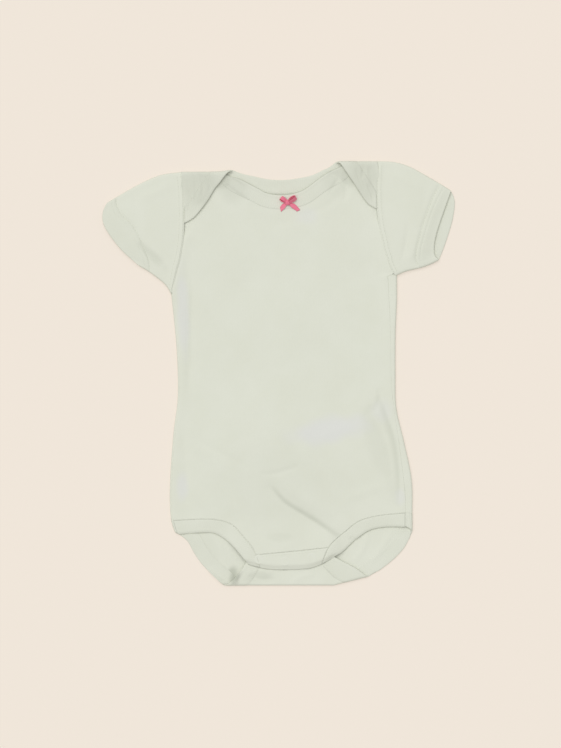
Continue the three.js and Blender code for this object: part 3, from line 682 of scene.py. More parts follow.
def band(name, line_at, section, place, material, spots, edge_shadow=0.0, spacing=1.5):
    """A closed band that follows an edge. line_at gives the flat line at a distance from the free edge."""
    count = int(round(length_of(line_at(section[:, 0].max() / 2)) / spacing))
    lines = np.stack([evenly(line_at(w), count) for w in section[:, 0]], axis=1)
    lengths = np.linspace(0, length_of(lines[:, 0]), count + 1)
    around = np.concatenate([[0], np.cumsum(np.linalg.norm(np.diff(section, axis=0), axis=1))])
    cut = np.stack(np.meshgrid(lengths, around, indexing="ij"), axis=-1)
    points = place(lines[..., 0], lines[..., 1], section[None, :, 1])
    # Painted shade from the spots, and along the free edge a painted shadow as strong as the argument
    # after the spots
    in_edge_shadow = section[None, :, 0] < EDGE_SHADOW_WIDTH
    tone = np.maximum(blotches(points[..., 0], points[..., 1], spots), edge_shadow * in_edge_shadow)
    bm = grid_of(points, cut, Deeper=tone)
    ends = [edge for edge in bm.edges if edge.is_boundary]
    bmesh.ops.holes_fill(bm, edges=ends, sides=0)
    bmesh.ops.recalc_face_normals(bm, faces=bm.faces[:])
    return finished(name, bm, material)


def stitches(name, rows_of_points, material, length=2.1, gap=0.7, radius=0.18):
    """Rows of machine stitches as one piece: short rounded threads lying along each line."""
    thread = bmesh.new()
    bmesh.ops.create_uvsphere(thread, u_segments=6, v_segments=4, radius=1)
    lying = Matrix.Rotation(math.pi / 2, 3, "Y")
    bmesh.ops.rotate(thread, verts=thread.verts[:], cent=(0, 0, 0), matrix=lying)
    one = bpy.data.meshes.new("thread")
    thread.to_mesh(one)
    thread.free()
    bm = bmesh.new()
    for points in rows_of_points:
        count = max(int(length_of(points) / (length + gap)), 1)
        even = evenly(points, 2 * count)
        for k in range(count):
            middle = Vector(even[2 * k + 1])
            along = Vector(even[2 * k + 2] - even[2 * k]).normalized()
            turn = along.to_track_quat("X", "Z").to_matrix().to_4x4()
            size = Matrix.Diagonal((length / 2, radius, 0.7 * radius, 1))
            place = Matrix.Diagonal((MM, MM, MM, 1)) @ Matrix.Translation(middle) @ turn @ size
            fresh = len(bm.verts)
            bm.from_mesh(one)
            bm.verts.ensure_lookup_table()
            bmesh.ops.transform(bm, matrix=place, verts=bm.verts[fresh:])
    bpy.data.meshes.remove(one)
    return finished(name, bm, material)


# Materials

def linear(hex_colour):
    """Turns an sRGB hex colour to linear."""
    values = [int(hex_colour[k:k + 2], 16) / 255 for k in (1, 3, 5)]
    return [v / 12.92 if v <= 0.04045 else ((v + 0.055) / 1.055) ** 2.4 for v in values] + [1.0]


def add_node(tree, kind, settings=(), values=(), links=()):
    """Adds a shader node with its settings, its sockets' values and links from other nodes' outputs."""
    node = tree.nodes.new("ShaderNode" + kind)
    for key, value in dict(settings).items():
        setattr(node, key, value)
    for key, value in dict(values).items():
        node.inputs[key].default_value = value
    for key, (source, output) in dict(links).items():
        tree.links.new(source.outputs[output], node.inputs[key])
    return node


def new_material(name):
    """A material and its empty node tree."""
    material = bpy.data.materials.new(name)
    material.use_nodes = True
    material.node_tree.nodes.clear()
    return material, material.node_tree


def noise(tree, size, place, **values):
    """Noise with clouds about so many millimetres across."""
    return add_node(tree, "TexNoise", {}, {"Scale": 1 / (size * MM), **values}, {"Vector": place}), "Fac"


def stripes(tree, cut, direction, period, **values):
    """Stripes so many millimetres apart on the flat cut."""
    values = {key.replace("_", " "): value for key, value in values.items()}
    values["Scale"] = math.tau / (20 * period * MM)
    return add_node(tree, "TexWave", {"bands_direction": direction}, values, {"Vector": cut}), "Fac"


def blend(tree, first, second, share):
    """Mixes two colours, each a hex colour or a link, by a link."""
    ends = {6: first, 7: second}
    values = {key: linear(end) for key, end in ends.items() if isinstance(end, str)}
    links = {key: end for key, end in ends.items() if not isinstance(end, str)}
    return add_node(tree, "Mix", {"data_type": "RGBA"}, values, {0: share, **links}), 2


def multiply_add(tree, value, factor, added):
    node = add_node(tree, "Math", {"operation": "MULTIPLY_ADD"}, {1: factor}, {0: value, 2: added})
    return node, "Value"


def end_material(tree, strength, depth, height, values, links):
    """Adds the relief, the shader with its values and links, and the output."""
    bump = add_node(tree, "Bump", {}, {"Strength": strength, "Distance": depth * MM}, {"Height": height})
    shader = add_node(tree, "BsdfPrincipled", {}, values, {"Normal": (bump, "Normal"), **links})
    add_node(tree, "OutputMaterial", {}, {}, {"Surface": (shader, "BSDF")})


FADED_COLOUR = "#DBDCD6"
# Colour painted over the cloth where it lies in shade: in creases, in corners and beside raised edges
PAINTED_SHADE_COLOUR = "#C1C4B5"


def knit(name, colour, shade, wale, course, depth):
    """Knitted cotton: loops in columns (wales) and rows (courses), softly mottled, with a short nap."""
    material, tree = new_material(name)
    cut = add_node(tree, "UVMap", {"uv_map": "Cut"}), "UV"
    place = add_node(tree, "TexCoord"), "Object"
    wales = stripes(tree, cut, "X", wale, Distortion=0.6, Detail=1.0, Detail_Scale=1.5)
    courses = stripes(tree, cut, "Y", course, Distortion=0.8, Detail=1.0, Detail_Scale=1.5)
    loops = multiply_add(tree, courses, 0.45, wales)
    fuzzy = multiply_add(tree, noise(tree, 0.9, place, Detail=2.0), 0.5, loops)
    clouds = noise(tree, 38, place, Detail=3.0, Roughness=0.6)
    contrast = {"From Min": 0.35, "From Max": 0.65}
    spread = add_node(tree, "MapRange", {}, contrast, {"Value": clouds}), "Result"
    faded = add_node(tree, "Attribute", {"attribute_name": "Faded"}), "Fac"
    # Shade painted into the colour, as strong as the tone each piece keeps on its corners
    painted_shade = add_node(tree, "Attribute", {"attribute_name": "Deeper"}), "Fac"
    washed = blend(tree, blend(tree, colour, shade, spread), FADED_COLOUR, faded)
    base = blend(tree, washed, PAINTED_SHADE_COLOUR, painted_shade)
    values = {"Roughness": 0.95, "Specular IOR Level": 0.2, "Sheen Weight": 0.12, "Sheen Roughness": 0.6}
    end_material(tree, 0.6, depth, fuzzy, values, {"Base Color": base})
    return material


# Cotton single jersey, circular knitted and enzyme washed: flat and matt, with loops too fine for the
# picture, so they are drawn about twice as coarse as the real 0.7 mm.
jersey = knit("Cotton jersey, knitted", "#DDDFD1", "#DBDDCE", 1.5, 1.2, 0.07)
# Cotton 1x1 rib, circular knitted: fine raised ribs across the band, drawn at 2 mm for 1.3 mm real ones.
rib = knit("Cotton rib, knitted", "#DCDED0", "#D9DBCC", 2.0, 1.1, 0.16)


def plain(name, colour, shade, roughness, grain, depth, values=()):
    """A surface of one colour with a fine grain that breaks its gloss and moves its tone a little."""
    material, tree = new_material(name)
    grains = noise(tree, grain, (add_node(tree, "TexCoord"), "Object"), Detail=3.0)
    ends = {"To Min": roughness - 0.06, "To Max": roughness + 0.06}
    rough = add_node(tree, "MapRange", {}, ends, {"Value": grains}), "Result"
    links = {"Base Color": blend(tree, colour, shade, grains), "Roughness": rough}
    end_material(tree, 0.5, depth, grains, values, links)
    return material


# Spun polyester thread, dyed to match the cloth: a soft low gloss.
thread = plain("Polyester thread, spun", "#D5D7C8", "#CFD1C1", 0.75, 0.3, 0.03, {"Sheen Weight": 0.2})
# Moulded acetal snap in the cloth's colour: smooth and nearly matt.
acetal = plain("Acetal snap, moulded", "#DDDFD1", "#DADCCE", 0.72, 0.8, 0.01)
# Seamless paper on a light table, matt: its own glow softens what shadows fall on it.
paper = plain("Studio paper, matt", "#A8A198", "#A7A097", 0.95, 3.0, 0.01, {
    "Specular IOR Level": 0.1, "Emission Color": linear("#F0E6DA"), "Emission Strength": 0.55,
})


def satin(name, colour, shade):
    """Polyester satin ribbon, woven: floats run along it and give a narrow sheen across them."""
    material, tree = new_material(name)
    cut = add_node(tree, "UVMap", {"uv_map": "Cut"}), "UV"
    base = blend(tree, colour, shade, noise(tree, 1.6, cut, Detail=2.0))
    values = {"Roughness": 0.42, "Sheen Weight": 0.35, "Sheen Roughness": 0.35, "Anisotropic": 0.4}
    picks = stripes(tree, cut, "Y", 0.35, Distortion=0.4)
    end_material(tree, 0.4, 0.03, picks, values, {"Base Color": base})
    return material


ribbon = satin("Polyester satin ribbon, woven", "#F07B96", "#DB6F87")


# The back panel, rolled round both sides and turned over at the shoulders and the crotch

neck_seam_y = y_at(moved(neck_edge, TUCK - BINDING_WIDTH))
leg_seam_left_y = y_at(moved(leg_edge_left, BINDING_WIDTH - TUCK))
leg_seam_right_y = y_at(moved(leg_edge_right, BINDING_WIDTH - TUCK))


def back_low(x):
    return np.maximum(back_flap_end_y(x), np.where(x < 20, leg_seam_left_y(x), leg_seam_right_y(x)))


def back_columns():
    """Columns across the back: share between its side lines, and length rolled past them."""
    shares = np.linspace(0, 1, 130)
    roll = np.linspace(0, 1, 9)[1:]
    flat = np.linspace(0, 1, 5)[1:]
    left = [(0.0, -1, turned, 0.0) for turned in roll[::-1]]
    middle = [(share, 0, 0.0, 0.0) for share in shares]
    right = [(1.0, 1, turned, 0.0) for turned in roll] + [(1.0, 1, 1.0, beyond) for beyond in flat]
    return np.array(left + middle + right)


def back_cut_x(columns, y):
    """x on the opened cut for columns at levels y."""
    share, side, turned, beyond = (columns[:, k].reshape((-1,) + (1,) * (y.ndim - 1)) for k in range(4))
    x = middle_x(share, y)
    armpit = np.where(side < 0, ARMPIT_LEFT, ARMPIT_RIGHT)
    taper = np.clip((armpit + ROLL_END - y) / ROLL_END, 0, 1)
    over = np.maximum(right_side_x(y) - SIDE_FOLD - right_seam_x(y), 0)
    rolled = turned * math.pi * SIDE_FOLD + beyond * over
    return x + side * rolled * taper


def back_levels(columns):
    """Levels on the opened cut for every column: flap, crotch fold, body, shoulder fold, lap."""
    zero = np.zeros(len(columns))
    x = middle_x(columns[:, 0], zero)
    top, radius, low = shoulder_start(x), shoulder_radius(x), crotch_start(x)
    armpit = mix(ARMPIT_LEFT, ARMPIT_RIGHT, columns[:, 0])
    folded = low - math.pi * CROTCH_FOLD
    turned = top + math.pi * radius
    parts = [
        (folded - 28, folded, 18), (folded, low, 8), (low, armpit, 112), (armpit, armpit + ROLL_END, 2),
        (armpit + ROLL_END, top, 44), (top, turned, 10), (turned, turned + 56, 32),
    ]
    rows = [mix(start, end, k / count) for start, end, count in parts for k in range(count)]
    return np.stack([*rows, parts[-1][1]], axis=1)


def crossing(columns, line):
    """Level at which each column crosses a cut line, given as y for each x."""
    y = np.zeros(len(columns))
    for _ in range(14):
        y = mix(y, line(back_cut_x(columns, y)), 0.8)
    return y


columns = back_columns()
low = crossing(columns, back_low)[:, None]
high = np.maximum(crossing(columns, neck_seam_y)[:, None], low)
levels = np.clip(back_levels(columns), low, high)
beside = columns[:, 1] != 0
armpits = np.where(columns[:, 1] < 0, ARMPIT_LEFT, ARMPIT_RIGHT) + ROLL_END
levels[beside] = np.minimum(levels[beside], armpits[beside][:, None])
cut_x = back_cut_x(columns, levels)
back_points = back_place(cut_x, levels, JERSEY_LIFT)
# Painted shade on the back: spots on its lower layer, and spots on the laps and flap where it turns up
turned_up = ease(back_points[..., 2], 2.4, 3.4)
back_painted_shade = mix(
    blotches(back_points[..., 0], back_points[..., 1], PAINTED_SHADE_LOWER),
    blotches(back_points[..., 0], back_points[..., 1], PAINTED_SHADE_TURNED), turned_up,
)
back_cut = np.stack([cut_x, levels], axis=-1)
back_bm = grid_of(back_points, back_cut, Deeper=back_painted_shade)
bmesh.ops.reverse_faces(back_bm, faces=back_bm.faces[:])
back = finished("back", back_bm, jersey)
add_wall(back, JERSEY_WALL - JERSEY_LIFT)


# Bindings of the back

def between_armholes(line):
    x, y = line.T
    place_y = placed_y(x, y)
    return np.minimum(x - left_armhole_x(place_y), right_armhole_x(place_y) - x)


def within_left_leg(line):
    x, y = line.T
    return np.minimum(x - left_line(y) + math.pi * SIDE_FOLD, y - back_flap_end_y(x))


def within_right_leg(line):
    x, y = line.T
    over = np.maximum(right_side_x(y) - SIDE_FOLD - right_seam_x(y), 0)
    return np.minimum(right_line(y) + math.pi * SIDE_FOLD + over - x, y - back_flap_end_y(x))


def back_band(name, edge, side, inside, node):
    """A binding along an edge of the back."""
    section = rounded_section(BINDING_WIDTH, BINDING_WALL)
    line_at = lambda w: kept_stretch(moved(edge, side * w), inside)
    piece = band(name, line_at, section, back_place, rib, PAINTED_SHADE_TURNED)
    length_of(line_at(BINDING_WIDTH / 2)) * MM
    stitch = line_at(BINDING_WIDTH - STITCH_SETBACK)
    seams.append(back_place(stitch[:, 0], stitch[:, 1], 0.04))
    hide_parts(node)
    return piece


seams = []
neck_band_back = back_band("neck_binding_on_back", neck_edge, -1, between_armholes, "neck_binding_back")
leg_band_back_left = back_band(
    "left_leg_binding_on_back", leg_edge_left, 1, within_left_leg, "leg_binding_back_left",
)
leg_band_back_right = back_band(
    "right_leg_binding_on_back", leg_edge_right, 1, within_right_leg, "leg_binding_back_right",
)


# The front panel

front_neck_edge = smooth_line(FRONT_NECK_EDGE)
front_neck_seam = smooth_line(FRONT_NECK_SEAM)
leg_edges = [smooth_line(FRONT_LEG_EDGE_LEFT), smooth_line(FRONT_LEG_EDGE_RIGHT)]
leg_seams = [smooth_line(FRONT_LEG_SEAM_LEFT), smooth_line(FRONT_LEG_SEAM_RIGHT)]
hem_edge = smooth_line(CROTCH_HEM_EDGE)
hem_stitch = smooth_line(CROTCH_HEM_STITCH)
neck_seam_front_y = y_at(front_neck_seam)
leg_seam_y = [y_at(seam) for seam in leg_seams]
hem_edge_y = y_at(hem_edge)
hem_stitch_y = y_at(hem_stitch)
CROTCH_MIDDLE = 11
NECK_SEAM_ENDS = (-62.3, 77.3)


def shoulder_limit(x):
    return shoulder_start(x) - 0.3


def front_low(x):
    leg = np.where(x < CROTCH_MIDDLE, leg_seam_y[0](x), leg_seam_y[1](x))
    return np.maximum(leg, hem_stitch_y(x)) - TUCK


def front_high(x):
    beyond_neck = (x < NECK_SEAM_ENDS[0]) | (x > NECK_SEAM_ENDS[1])
    return np.minimum(shoulder_limit(x), np.where(beyond_neck, np.inf, neck_seam_front_y(x) + TUCK))


def front_x(share, y):
    return mix(front_left(y), front_right(y), share)


beside_seam = np.array([0, 0.0015, 0.004])
front_shares = np.concatenate([beside_seam, np.linspace(0.008, 0.992, 134), 1 - beside_seam[::-1]])
low, high = np.full(front_shares.shape, -140.0), np.full(front_shares.shape, 190.0)
for _ in range(14):
    low = front_low(front_x(front_shares, low))
    high = front_high(front_x(front_shares, high))
up = np.linspace(0, 1, 216)
front_y = mix(low[:, None], high[:, None], up[None, :])
front_grid_x = front_x(front_shares[:, None], front_y)
front_points = np.stack([front_grid_x, front_y, front_height(front_grid_x, front_y)], axis=-1)
front_cut = np.stack([front_grid_x, front_y], axis=-1)
front_tones = {
    "Faded": blotches(front_grid_x, front_y, FADED),
    # Painted shade: soft spots, and lines along the folds
    "Deeper": np.maximum(
        blotches(front_grid_x, front_y, PAINTED_SHADE_SPOTS), creased(front_grid_x, front_y, PAINTED_SHADE_LINES),
    ),
}
front = finished("front", grid_of(front_points, front_cut, **front_tones), jersey)
add_wall(front, JERSEY_WALL)


# Bindings and crotch hem of the front

EDGE_STEPS = 400


def front_band(name, edge, seam, inside, width, wall, rise, material, node, edge_shadow=0.0, **shape):
    """A band of the front between its free edge and its seam."""
    outer_line, inner_line = evenly(edge, EDGE_STEPS), evenly(seam, EDGE_STEPS)
    section = rounded_section(width, wall, **shape)
    line_at = lambda w: kept_stretch(mix(outer_line, inner_line, w / width), inside)


    def place(x, y, depth):
        return np.stack(np.broadcast_arrays(x, y, front_height(x, y) + rise - depth), axis=-1)

    piece = band(name, line_at, section, place, material, PAINTED_SHADE_SPOTS, edge_shadow)
    length_of(line_at(width / 2)) * MM
    stitch = line_at(width - STITCH_SETBACK)
    seams.append(place(stitch[:, 0], stitch[:, 1], 0.0))
    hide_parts(node)
    return piece


def above_shoulder_limit(line):
    return shoulder_limit(line[:, 0]) - line[:, 1]


def right_of_left_seam(line):
    x, y = line.T
    hem = np.where(x > -40, y - hem_edge_y(x), 5)
    return np.minimum(x - front_left(y), hem)


def left_of_right_seam(line):
    x, y = line.T
    hem = np.where(x < 60, y - hem_edge_y(x), 5)
    return np.minimum(front_right(y) - x, hem)


# The front neck binding has a painted shadow along its free edge, where it lies over the back
neck_band_front = front_band(
    "neck_binding_on_front", front_neck_edge, front_neck_seam, above_shoulder_limit, BINDING_WIDTH,
    BINDING_WALL, 0.05, rib, "neck_binding_front", edge_shadow=1.0, seam_groove=0.0, bead=0.3,
)
leg_band_front_left = front_band(
    "left_leg_binding_on_front", leg_edges[0], leg_seams[0], right_of_left_seam, BINDING_WIDTH,
    BINDING_WALL, 0.06, rib, "leg_binding_front_left", seam_groove=0.3,
)
leg_band_front_right = front_band(
    "right_leg_binding_on_front", leg_edges[1], leg_seams[1], left_of_right_seam, BINDING_WIDTH,
    BINDING_WALL, 0.06, rib, "leg_binding_front_right", seam_groove=0.3,
)


def between_leg_bindings(line):
    x, y = line.T
    return np.minimum(y - leg_seam_y[0](x) + 3.0, y - leg_seam_y[1](x) + 3.0)


HEM_DEPTH = 16.0
crotch_hem = front_band(
    "crotch_hem_on_front", hem_edge, hem_stitch, between_leg_bindings, HEM_DEPTH, CROTCH_HEM_WALL, 0.1,
    jersey, "crotch_hem_front", crown=0.1, seam_groove=0.35, bead=0.0,
)


# Sleeves

def sleeve_lines(armhole_x, side, start, end, rows):
    armhole_y = np.linspace(start, end, 60)
    armhole = np.column_stack([armhole_x(armhole_y) - side * 0.1, armhole_y])
    lines = {
        "armhole": armhole,
        "top": smooth_line([tuple(armhole[0]), *rows["top"]]),
        "under": smooth_line([tuple(armhole[-1]), *rows["under"]]),
        "front_opening": smooth_line(rows["front_opening"]),
        "back_opening": smooth_line(rows["back_opening"]),
    }
    lines = {key: evenly(line, 160) for key, line in lines.items()}
    return {**lines, "hem": smooth_line(rows["hem"], 0.5), "rows": rows["rows"]}


# Tops and underarms run out from the armhole, openings run down. "hem" holds shares down the opening
# and the hem's depth there, "rows" the distances of the two stitch rows from the armhole.
LEFT_SLEEVE = sleeve_lines(left_armhole_x, -1, 191, 74.8, {
    "top": [(-113, 187.8), (-132, 179.6), (-151, 169), (-163.4, 161.5)],
    "under": [(-107.6, 83.2), (-118.5, 92.4), (-126.5, 98), (-133, 101.7)],
    "front_opening": [(-163.4, 161.5), (-167.2, 153), (-166.7, 141.6), (-151.5, 118.8), (-133, 101.7)],
    "back_opening": [(-163.4, 161.5), (-166.8, 152), (-165, 140.6), (-150, 119.8), (-133, 101.7)],
    "hem": [(0, 11.5), (0.2, 18), (0.45, 25), (0.75, 21), (1, 13.7)],
    "rows": (1.4, 5.0),
})
RIGHT_SLEEVE = sleeve_lines(right_armhole_x, 1, 201.2, 91.8, {
    "top": [(110, 200.2), (124.5, 195.7), (138.7, 188), (153, 179.6), (163.4, 173)],
    "under": [(119.7, 96), (134, 99.6), (143, 102.7), (152, 107.2)],
    "front_opening": [
        (163.4, 173), (158.7, 159.6), (153, 143.5), (149.3, 131.5), (147.3, 120), (148, 111.5),
        (152, 107.2),
    ],
    "back_opening": [
        (163.4, 173), (166.8, 164), (165.2, 147), (160.4, 130), (156.4, 118.4), (152, 107.2),
    ],
    "hem": [(0, 12.7), (0.3, 15.5), (0.6, 16), (0.8, 17.8), (1, 20)],
    "rows": (1.2, 4.2),
})
SLEEVE_TOP_LENGTH = 74.0
SLEEVE_RIDGE = 0.4
HEM_ROWS = (0.5, 4.6)
OPENING_DIP = 1.0


def point_at(line, share):
    """Points at shares of an evenly spaced line."""
    place = np.clip(share, -0.1, 1.1) * (len(line) - 1)
    index = np.clip(np.floor(place).astype(int), 0, len(line) - 2)
    rest = (place - index)[..., None]
    return line[index] * (1 - rest) + line[index + 1] * rest


def sleeve_measures(lines, share):
    """Length from armhole to opening and depth of the hem, at a share down the sleeve."""
    apart = point_at(lines["armhole"], share) - point_at(lines["front_opening"], share)
    return np.linalg.norm(apart, axis=-1), np.interp(share, *lines["hem"].T)


def sleeve_place(lines, around, station, depth):
    """Points of a sleeve: around holds share, level and reach, station runs 0 to 1 to the hem and to 2."""
    share, level, reach_side = around
    length, hem = sleeve_measures(lines, share)
    hem_start = 1 - hem / length
    t = np.where(station <= 1, station * hem_start, mix(hem_start, 1, station - 1))
    across = np.linalg.norm(point_at(lines["top"], t) - point_at(lines["under"], t), axis=-1)
    inset = SLEEVE_FOLD / across
    radius = SLEEVE_FOLD - depth
    w = mix(inset, 1 - inset, share) + reach_side * radius / across
    front_share = ((1 + level) / 2)[..., None]
    opening = mix(point_at(lines["back_opening"], w), point_at(lines["front_opening"], w), front_share)
    armhole = point_at(lines["armhole"], w)
    top, under = point_at(lines["top"], t), point_at(lines["under"], t)
    a0, a1 = lines["armhole"][[0, -1]]
    o0, o1 = lines["front_opening"][[0, -1]]
    tt, ww = t[..., None], w[..., None]
    flat = armhole * (1 - tt) + opening * tt + top * (1 - ww) + under * ww
    flat = flat - a0 * (1 - tt) * (1 - ww) - a1 * (1 - tt) * ww - o0 * tt * (1 - ww) - o1 * tt * ww
    x, y = flat[..., 0], flat[..., 1]
    upper = np.clip(level, 0, 1)
    from_fold = np.minimum(w, 1 - w) * across
    inner = np.clip(from_fold / 14, 0, 1)
    puff = 1.1 * np.sin(math.pi * np.clip(w, 0, 1)) * np.sin(math.pi * np.clip(t * 0.8 + 0.1, 0, 1))
    relief = inner * (puff + creased(x, y, SLEEVE_CREASES) + 0.16 * uneven(x, y, 26))
    from_armhole = t * length
    ridge = SLEEVE_RIDGE * (ease(from_armhole, 0.2, 1.8) - ease(from_armhole, 3.8, 6.4))
    sunk_seam = 0.3 * (1 - ease(from_armhole, 0, 1.3))
    from_hem = t * length - (length - hem)
    sunk_rows = sum(np.exp(-((from_hem - row) / 0.9) ** 2) for row in HEM_ROWS)
    sunk_hem = 0.3 * sunk_rows + 0.45 * np.exp(-(from_hem / 2.2) ** 2)
    dip = OPENING_DIP * ease(station, 1.3, 1.95)
    relief = relief + np.clip(from_fold / 4, 0, 1) * (ridge - sunk_seam - sunk_hem)
    relief = relief - np.clip(from_fold / 9, 0, 1) * dip
    lift = np.clip(-level, 0, 1) * 0.15 * inner * (1 + uneven(x, y, 40))
    z = SLEEVE_FOLD + radius * level + upper * relief + lift
    cut = np.stack([np.where(level >= 0, w, -w) * across, t * SLEEVE_TOP_LENGTH], axis=-1)
    return np.stack([x, y, z], axis=-1), cut


def ring_around(flat_steps=38, arc_steps=8):
    """Steps round the flat tube from the underarm seam: share down it, level and reach past its fold."""
    half, quarter = np.linspace(0, math.pi, arc_steps + 1), np.linspace(0, math.pi / 2, arc_steps // 2 + 1)
    under_back = [(1, math.cos(a), math.sin(a)) for a in quarter[:-1] + math.pi / 2]
    back_side = [(s, -1, 0) for s in np.linspace(1, 0, flat_steps + 1)]
    over_top = [(0, math.cos(a), -math.sin(a)) for a in half[-2:0:-1]]
    front_side = [(s, 1, 0) for s in np.linspace(0, 1, flat_steps + 1)]
    under_front = [(1, math.cos(a), math.sin(a)) for a in quarter[1:]]
    return np.array([*under_back, *back_side, *over_top, *front_side, *under_front], float)


def sleeve_profile():
    """Stations and depths along the outside of the sleeve, round its edge and back along its inside."""
    body_out = [(0.95 * s ** 1.3, 0.0) for s in np.linspace(0, 1, 40)]
    step = [(0.965, 0.0), (0.98, 0.04), (1.0, 0.08), (1.02, 0.04), (1.05, -0.06)]
    hem_out = [(1 + s, -0.1) for s in np.linspace(0.08, 0.93, 30)]
    edge = [(1.965, 0.0), (1.99, 0.25), (2.0, 0.72), (1.99, 1.18), (1.965, 1.4)]
    hem_in = [(1 + s, SLEEVE_HEM_WALL) for s in np.linspace(0.93, 0.04, 10)]
    body_in = [(s, JERSEY_WALL) for s in np.linspace(0.985, 0, 26)]
    return np.array([*body_out, *step, *hem_out, *edge, *hem_in, *body_in, (0.0, 0.0)])


def sleeve(name, lines, node):
    """A short sleeve lying flat, with its hem turned in."""
    ring, profile = ring_around(), sleeve_profile()
    around = [ring[:, None, k] * np.ones((1, len(profile))) for k in range(3)]
    station = profile[None, :, 0] * np.ones((len(ring), 1))
    points, cut = sleeve_place(lines, around, station, profile[None, :, 1])
    # Painted shade on the turned hem and in the sleeves' creases
    hem_painted_shade = 0.08 * ease(station, 0.99, 1.03)
    tone = np.maximum(hem_painted_shade, blotches(points[..., 0], points[..., 1], SLEEVE_PAINTED_SHADE))
    bm = grid_of(points, cut, Deeper=tone)
    bmesh.ops.recalc_face_normals(bm, faces=bm.faces[:])
    piece = finished(name, bm, jersey)
    share = np.linspace(0.01, 0.99, 60)
    length, hem = sleeve_measures(lines, share)
    for level, sunk in ((1.0, -0.04), (-1.0, 0.06)):
        steps = [share, np.full(60, level), np.zeros(60)]
        hem_rows = [1 + apart / hem for apart in HEM_ROWS]
        armhole_rows = [apart / (length - hem) for apart in lines["rows"]]
        for station in (*hem_rows, *armhole_rows):
            seams.append(sleeve_place(lines, steps, station, np.full(60, sunk))[0])
    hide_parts(node)
    return piece


left_sleeve = sleeve("left_sleeve", LEFT_SLEEVE, "sleeve_left")
right_sleeve = sleeve("right_sleeve", RIGHT_SLEEVE, "sleeve_right")

# Second needle line of the crotch hem
NEEDLE_GAUGE = 3.4
second = mix(evenly(hem_edge, EDGE_STEPS), evenly(hem_stitch, EDGE_STEPS), 1 - NEEDLE_GAUGE / HEM_DEPTH)
second = kept_stretch(second, between_leg_bindings)
seams.append(np.column_stack([second, front_height(second[:, 0], second[:, 1]) + 0.12]))

stitching = stitches("stitching", seams, thread)


# Snaps, lathed

def turned_piece(name, profile, x, y, z, node):
    """Turns a profile of radius and height pairs about its own upright axis."""
    bm = bmesh.new()
    ring = [bm.verts.new((radius * MM, 0, height * MM)) for radius, height in profile]
    edges = [bm.edges.new(pair) for pair in zip(ring, ring[1:])]
    bmesh.ops.spin(
        bm, geom=[*ring, *edges], cent=(0, 0, 0), axis=(0, 0, 1), angle=math.tau, steps=40,
        use_merge=True,
    )
    bmesh.ops.remove_doubles(bm, verts=bm.verts[:], dist=0.004 * MM)
    bmesh.ops.recalc_face_normals(bm, faces=bm.faces[:])
    bmesh.ops.translate(bm, verts=bm.verts[:], vec=Vector((x, y, z)) * MM)
    piece = finished(name, bm, acetal)
    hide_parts(node)
    return piece


CAP_PROFILE = [
    (0, 0.05), (2.4, 0.05), (3.0, 0.08), (3.5, 0.14), (3.9, 0.14), (4.3, 0.06), (4.6, -0.1), (4.68, -0.2),
    (4.5, -0.3), (0, -0.3),
]
SOCKET_PROFILE = [
    (1.9, 0.1), (2.0, 0), (4.0, 0), (4.1, 0.1), (4.1, 0.62), (3.9, 0.8), (3.1, 0.8), (2.9, 0.66),
    (2.5, 0.66), (2.3, 0.8), (2.0, 0.8), (1.9, 0.7), (1.9, 0.1),
]
STUD_PROFILE = [
    (0, 0), (3.8, 0), (3.9, 0.1), (3.9, 0.26), (3.7, 0.4), (1.9, 0.4), (1.6, 0.52), (1.45, 0.72),
    (1.6, 0.95), (1.5, 1.12), (1.2, 1.2), (0, 1.2),
]
snap_pieces = []
for where, x, y in SNAPS:
    cap_z = float(front_height(np.array([x]), np.array([y]))[0]) + CAP_SEAT
    stack = (
        ("cap", CAP_PROFILE, cap_z), ("socket", SOCKET_PROFILE, SOCKET_Z), ("stud", STUD_PROFILE, STUD_Z),
    )
    for part, profile, z in stack:
        snap_pieces.append(turned_piece(f"{part}_{where}", profile, x, y, z, f"snap_{part}_{where}"))


# Ribbon bow

BOW_Z = float(front_height(np.array([BOW_CENTRE[0]]), np.array([BOW_CENTRE[1]]))[0]) + BINDING_RISE + 0.3


def bow_piece(name, points, cut, turn, tilt, height, node):
    """Ribbon put down at the bow's centre, tilted about its own length and then turned."""
    bm = grid_of(points, cut)
    turned = Matrix.Rotation(math.radians(turn), 4, "Z") @ Matrix.Rotation(math.radians(tilt), 4, "X")
    place = Matrix.Translation(Vector((*BOW_CENTRE, BOW_Z + height)) * MM) @ turned
    bmesh.ops.transform(bm, matrix=place, verts=bm.verts[:])
    piece = finished(name, bm, ribbon)
    wall = piece.modifiers.new("Wall", "SOLIDIFY")
    wall.thickness = RIBBON_THICKNESS * MM
    wall.offset = 0
    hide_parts(node)
    return piece


def bow_loop(length, half_height, steps=40, across=10):
    """A loop of ribbon along +X, gathered where it enters the knot."""
    angle = np.linspace(0.12, math.tau - 0.12, steps)[:, None]
    side = np.linspace(-1, 1, across)[None, :]
    open_share = np.sin(angle / 2) ** 0.7
    start = KNOT_SIZE[0] * 0.55
    x = start + length / 2 * (1 - np.cos(angle)) + 0 * side
    y = side * RIBBON_WIDTH / 2 * mix(0.6, 1.0, open_share)
    gather = 0.22 * np.cos(side * 7.5) * (1 - open_share)
    z = -half_height * np.sin(angle) * open_share ** 0.3 + gather
    along = np.linspace(0, 2.4 * length, steps)[:, None] + 0 * side
    return np.stack([x, y, z], axis=-1), np.stack([y, along], axis=-1)


